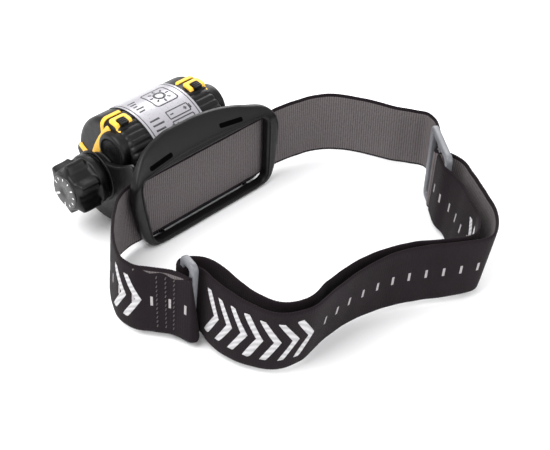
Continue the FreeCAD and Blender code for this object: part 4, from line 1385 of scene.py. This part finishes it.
@dataclass
class Label:
    """Silver label bent over the top of the housing, with plain printed pictograms."""

    radius: float = 22.7
    half_w: float = 13.6
    back: float = 150.0
    ahead: float = 52.0

    def wrap(self, across: Array, along: Array, rise: Array) -> Array:
        """Bend flat label places over the housing.

        Args:
            across: distance along the tilt axis from the label's middle, mm.
            along: distance over the curve from the label's middle line, mm, forward positive.
            rise: distance out of the label's face, mm.
        """
        middle = math.radians((self.back + self.ahead) / 2)
        angle = middle - along / self.radius
        r = self.radius + rise
        return np.stack(np.broadcast_arrays(LAMP_X + across, AXIS_Y + r * np.cos(angle),
                                            AXIS_Z + r * np.sin(angle)), axis=-1)

    @property
    def half_l(self) -> float:
        """Half the label's length over the curve."""
        return math.radians(self.back - self.ahead) / 2 * self.radius

    def pad(self, outline: Array, low: float, high: float, edge: float = 0.1) -> tuple[Array, list]:
        """A flat outline as a thin pad bent over the housing: the label itself or one mark."""
        n = len(outline)
        middle = outline.mean(axis=0)
        rings = 14
        share = np.linspace(0.0, 1.0, rings)[None, :, None]
        flat = middle + (outline[:, None, :] - middle) * np.maximum(share, 1e-3)
        rise = np.full((n, rings), high)
        skirt = np.repeat(outline[:, None, :], 2, axis=1)
        flat = np.concatenate([flat, skirt], axis=1)
        rise = np.concatenate([rise, np.full((n, 1), high - edge), np.full((n, 1), low)], axis=1)
        points = self.wrap(flat[..., 0], flat[..., 1], rise)
        verts, quads = patch(points, wrap_u=True)
        m = rings + 2
        caps = [[i * m for i in range(n)][::-1], [i * m + m - 1 for i in range(n)]]
        if not self.faces_out(verts, quads):
            quads = quads[:, ::-1]
            caps = [cap[::-1] for cap in caps]
        return placed(verts), quads.tolist() + caps

    def faces_out(self, verts: Array, quads: Array) -> bool:
        """Tell whether the first ring of quads looks away from the tilt axis."""
        q = quads[3]
        a, b, c = verts[q[0]], verts[q[1]], verts[q[2]]
        normal = np.cross(b - a, c - a)
        away = a - np.array([LAMP_X, AXIS_Y, AXIS_Z])
        away[0] = 0.0
        return float(normal @ away) > 0

    def stroke(self, points: Pairs, width: float, rise: float) -> tuple[Array, list]:
        """A printed line: a ribbon of a given width along a short path."""
        line = np.asarray(points, float)
        ahead = np.gradient(line, axis=0)
        ahead /= np.linalg.norm(ahead, axis=1)[:, None] + 1e-9
        left = np.stack([-ahead[:, 1], ahead[:, 0]], axis=1) * width * 0.75
        n = len(line)
        grid = np.stack([line + left, line - left], axis=1)
        top = self.wrap(grid[..., 0], grid[..., 1], np.full((n, 2), rise))
        foot = self.wrap(grid[..., 0], grid[..., 1], np.full((n, 2), rise - 0.25))
        loop = np.concatenate([top, foot[:, ::-1]], axis=1)
        verts, quads = patch(loop, wrap_v=True)
        return placed(verts), outward(verts, quads).tolist() + tube_caps(n, 4)

    def build(self, foil: bpy.types.Material, ink: bpy.types.Material, under: bpy.types.Material) -> None:
        """Make the tongue under the label, the label and its pictograms."""
        outline = rounded_rect(self.half_w, self.half_l, 2.0, 40, 6)
        sheet = make_piece("housing_label", [self.pad(outline, -0.1, 0.0)], Body.LAMP)
        crease(sheet, 50.0)
        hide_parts("label_plate")
        dress(sheet, foil)
        tongue = make_piece("label_tongue", [self.pad(outline * 1.03, -1.4, -0.12)], Body.LAMP)
        dress(tongue, under)
        marks = self.sun(3.6, 5.6, 2.3) + self.cell_sign(4.2, -6.2, 1) + self.cell_sign(4.2, -11.4, -1)
        for k in range(5):
            y = 9.5 - 2.0 * k
            marks.append(self.stroke([(-10.4, y), (-6.6 - 0.9 * (k % 3), y)], 0.5, 0.06))
        for k in range(3):
            y = -5.2 - 2.4 * k
            marks.append(self.stroke([(-10.4, y), (-5.4 + 0.8 * (k % 2), y)], 0.55, 0.06))
        border = rounded_rect(self.half_w - 1.2, self.half_l - 1.2, 1.6, 30, 5)
        loop = np.vstack([border, border[:1]])
        marks.append(self.stroke([tuple(p) for p in loop], 0.3, 0.05))
        piece = make_piece("label_pictograms", marks, Body.LAMP)
        dress(piece, ink)

    def sun(self, cx: float, cy: float, r: float) -> list:
        """A light pictogram: a ring with eight rays inside a rounded square."""
        turn = np.linspace(0, 2 * math.pi, 33)
        out = [self.stroke([(cx + r * math.cos(a), cy + r * math.sin(a)) for a in turn], 0.7, 0.06)]
        for k in range(8):
            a = k * math.pi / 4
            out.append(self.stroke([(cx + 1.45 * r * math.cos(a), cy + 1.45 * r * math.sin(a)),
                                    (cx + 2.1 * r * math.cos(a), cy + 2.1 * r * math.sin(a))], 0.55, 0.06))
        frame = rounded_rect(2.55 * r, 2.55 * r, 1.4, 8, 5)
        loop = np.vstack([frame, frame[:1]]) + np.array([cx, cy])
        out.append(self.stroke([tuple(p) for p in loop], 0.4, 0.06))
        return out

    def cell_sign(self, cx: float, cy: float, way: int) -> list:
        """A cell pictogram: outline, end button and plus and minus signs."""
        box = rounded_rect(5.6, 1.9, 0.4, 6, 3)
        loop = np.vstack([box, box[:1]]) + np.array([cx, cy])
        out = [self.stroke([tuple(p) for p in loop], 0.35, 0.06)]
        out.append(self.stroke([(cx + way * 5.9, cy), (cx + way * 6.6, cy)], 1.4, 0.06))
        out.append(self.stroke([(cx + way * 3.6 - 0.8, cy), (cx + way * 3.6 + 0.8, cy)], 0.4, 0.06))
        out.append(self.stroke([(cx + way * 3.6, cy - 0.8), (cx + way * 3.6, cy + 0.8)], 0.4, 0.07))
        out.append(self.stroke([(cx - way * 3.6 - 0.8, cy), (cx - way * 3.6 + 0.8, cy)], 0.4, 0.06))
        return out


# ------------------------------------------------------------------ everything that keeps its CAD shape
@dataclass(frozen=True)
class Phosphor:
    """Yellow phosphor under a clear dome."""

    name: str = "led_phosphor"

    def build(self) -> bpy.types.Material:
        """Make the material."""
        n = Nodes(self.name)
        n.set(Base_Color=n.mix(n.noise(900.0), (0.9, 0.62, 0.09, 1), (1.0, 0.82, 0.3, 1)))
        n.set(Roughness=n.span(n.noise(500.0), 0.3, 0.7, 0.25, 0.4))
        return n.material


def dress_nodes(frame: dict, finishes: dict[str, bpy.types.Material]) -> None:
    """Give each CAD node the finish of its record slot, unless a finish is named for the node.

    Args:
        frame: the loaded frame.
        finishes: material by slot or node name.
    """
    slots = {part["node"]: part["material_slot"] for part in frame["record"]["subparts"]}
    for name, slot in slots.items():
        piece = bpy.data.objects.get(name)
        if piece is None or piece.type != "MESH":
            continue
        material = finishes.get(name) or finishes[slot]
        piece.data.materials.clear()
        piece.data.materials.append(material)


@dataclass
class Studio:
    """Pale floor, soft lights and the camera."""

    target: tuple[float, float, float] = (2.4, 2.4, 3.0)
    azimuth: float = 46.0
    elevation: float = 39.04
    roll: float = 1.55
    distance: float = 485.3
    lens: float = 75.27
    floor_z: float = -0.05

    def camera(self) -> None:
        """Place the camera on its ray from the target."""
        a, e, r = (math.radians(v) for v in (self.azimuth, self.elevation, self.roll))
        right = Vector((math.cos(a), -math.sin(a), 0.0))
        up = Vector((math.sin(a) * math.sin(e), math.cos(a) * math.sin(e), math.cos(e)))
        back = Vector((-math.sin(a) * math.cos(e), -math.cos(a) * math.cos(e), math.sin(e)))
        rolled_right = right * math.cos(r) + up * math.sin(r)
        rolled_up = up * math.cos(r) - right * math.sin(r)
        data = bpy.data.cameras.new("view")
        data.sensor_width = 36.0
        data.lens = self.lens
        data.clip_start = 0.01
        camera = bpy.data.objects.new("view", data)
        bpy.context.scene.collection.objects.link(camera)
        pose = Matrix((rolled_right, rolled_up, back)).transposed().to_4x4()
        pose.translation = (Vector(self.target) + back * self.distance) * MM
        camera.matrix_world = pose
        bpy.context.scene.camera = camera

    def floor(self, finish: bpy.types.Material) -> None:
        """A wide flat floor, as rings that widen away from the middle."""
        turn = np.linspace(0, 2 * math.pi, 96, endpoint=False)[:, None]
        radius = np.linspace(0.0, 1.0, 40)[None, :] ** 1.5 * 3000.0
        points = np.stack(
            np.broadcast_arrays(radius * np.cos(turn), radius * np.sin(turn), self.floor_z), axis=-1)
        verts, quads = patch(points, wrap_u=True)
        mesh = bpy.data.meshes.new("floor")
        mesh.from_pydata((verts * MM).tolist(), [], quads.tolist())
        mesh.validate()
        piece = bpy.data.objects.new("floor", mesh)
        bpy.context.scene.collection.objects.link(piece)
        mesh.materials.append(finish)

    def area(self, name: str, place: tuple[float, float, float], size: float, power: float,
             color: tuple[float, float, float] = (1.0, 1.0, 1.0)) -> None:
        """One soft square light that looks at the target."""
        data = bpy.data.lights.new(name, "AREA")
        data.shape = "SQUARE"
        data.size = size
        data.energy = power
        data.color = color
        lamp = bpy.data.objects.new(name, data)
        bpy.context.scene.collection.objects.link(lamp)
        lamp.location = Vector(place)
        way = Vector(self.target) * MM - Vector(place)
        lamp.rotation_euler = way.to_track_quat("-Z", "Y").to_euler()

    def lights(self) -> None:
        """Big soft key from above and left, a low fill, a rim light and a pale surround."""
        self.area("key", (-0.45, 0.15, 0.75), 0.7, 9.0)
        self.area("fill", (0.1, -0.75, 0.45), 0.6, 3.5)
        self.area("rim", (0.65, 0.55, 0.5), 0.5, 5.0)
        world = bpy.data.worlds.new("surround")
        world.use_nodes = True
        shade = world.node_tree.nodes["Background"]
        shade.inputs["Color"].default_value = (1.0, 1.0, 1.0, 1.0)
        shade.inputs["Strength"].default_value = 0.85
        bpy.context.scene.world = world
        bpy.context.scene.view_settings.view_transform = "Standard"


def finishes() -> dict[str, bpy.types.Material]:
    """Every finish of the headlamp by its slot or by the piece that needs its own."""
    satin = Moulded("black_satin_plastic", (0.0034, 0.003, 0.0033), 0.4, specular=0.24).build()
    return {
        "black_plastic": satin,
        "knob_face": Moulded("knob_face_plastic", (0.011, 0.011, 0.012), 0.3).build(),
        "buckle_plastic": Moulded("grey_buckle_plastic", (0.125, 0.128, 0.14), 0.42).build(),
        "yellow_rubber": Moulded("yellow_seal_rubber", (0.95, 0.52, 0.045), 0.5, variation=0.08).build(),
        "black_rubber": Moulded("black_seal_rubber", (0.02, 0.02, 0.021), 0.6).build(),
        "washer": Moulded("acetal_washer", (0.02, 0.02, 0.021), 0.4).build(),
        "circuit_board": Moulded("board_lacquer", (0.02, 0.14, 0.06), 0.3).build(),
        "cell_wrap": Moulded("cell_sleeve", (0.09, 0.11, 0.16), 0.25, coat=0.5).build(),
        "clear_lens": ClearLens().build(),
        "led": Phosphor().build(),
        "mirror_bowl": Metal("vapour_mirror", (0.93, 0.93, 0.94), 0.08).build(),
        "aluminium": Metal("extruded_aluminium", (0.78, 0.78, 0.8), 0.34).build(),
        "steel": Metal("stainless_steel", (0.6, 0.6, 0.62), 0.26).build(),
        "spring_steel": Metal("nickel_contact", (0.76, 0.73, 0.66), 0.28).build(),
        "label": Foil().build(),
        "ink": Moulded("label_ink", (0.035, 0.035, 0.04), 0.45).build(),
        "paint": Moulded("white_print", (0.78, 0.78, 0.76), 0.5, variation=0.05).build(),
        # near-black matt finish of the slot pads: painted shade of the hood slots
        "slot_painted_shade": Moulded("painted_slot_shade", (0.0008, 0.0008, 0.0008), 0.9, specular=0.02).build(),
        "mark_thread": Thread("pale_mark_thread", (0.50, 0.49, 0.50)).build(),
        "seam_thread": Thread("dark_seam_thread", (0.05, 0.04, 0.045)).build(),
    }


def main() -> None:
    """Build every sub-assembly around the frame, then the studio."""
    logging.basicConfig(level=logging.INFO, format="%(name)s %(message)s")
    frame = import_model()
    use = finishes()
    use["webbing"] = Elastic().build()
    dress_nodes(frame, use)
    studio = Studio()
    studio.camera()
    studio.floor(Ground().build())
    studio.lights()

    band_run = Webbing()
    LOG.info("webbing centre line %.1f mm", band_run.run[-1])
    # the doubled stretch up to the ring turn has its grey face painted black, as painted shade of the gap
    # between its layers
    band_run.strap(Elastic(plain=(band_run.marked,), gap_shade_spans=((-1.0, band_run.turn_end),)).build())
    band_run.woven_marks(use["mark_thread"])
    band_run.stitches(use["seam_thread"])
    Buckles().build(use["buckle_plastic"])
    ForeheadFrame().build(use["black_plastic"], use["slot_painted_shade"])
    Bracket().build(use["black_plastic"])
    knob = Selector()
    knob.knob(use["black_plastic"])
    knob.face(use["knob_face"], use["paint"])
    shells = LampShells()
    shells.rear(use["black_plastic"])
    shells.front(use["black_plastic"])
    shells.seal(use["yellow_rubber"])
    shells.latches(use["black_plastic"])
    Label().build(use["label"], use["ink"], use["black_plastic"])


if __name__ == "__main__":
    main()
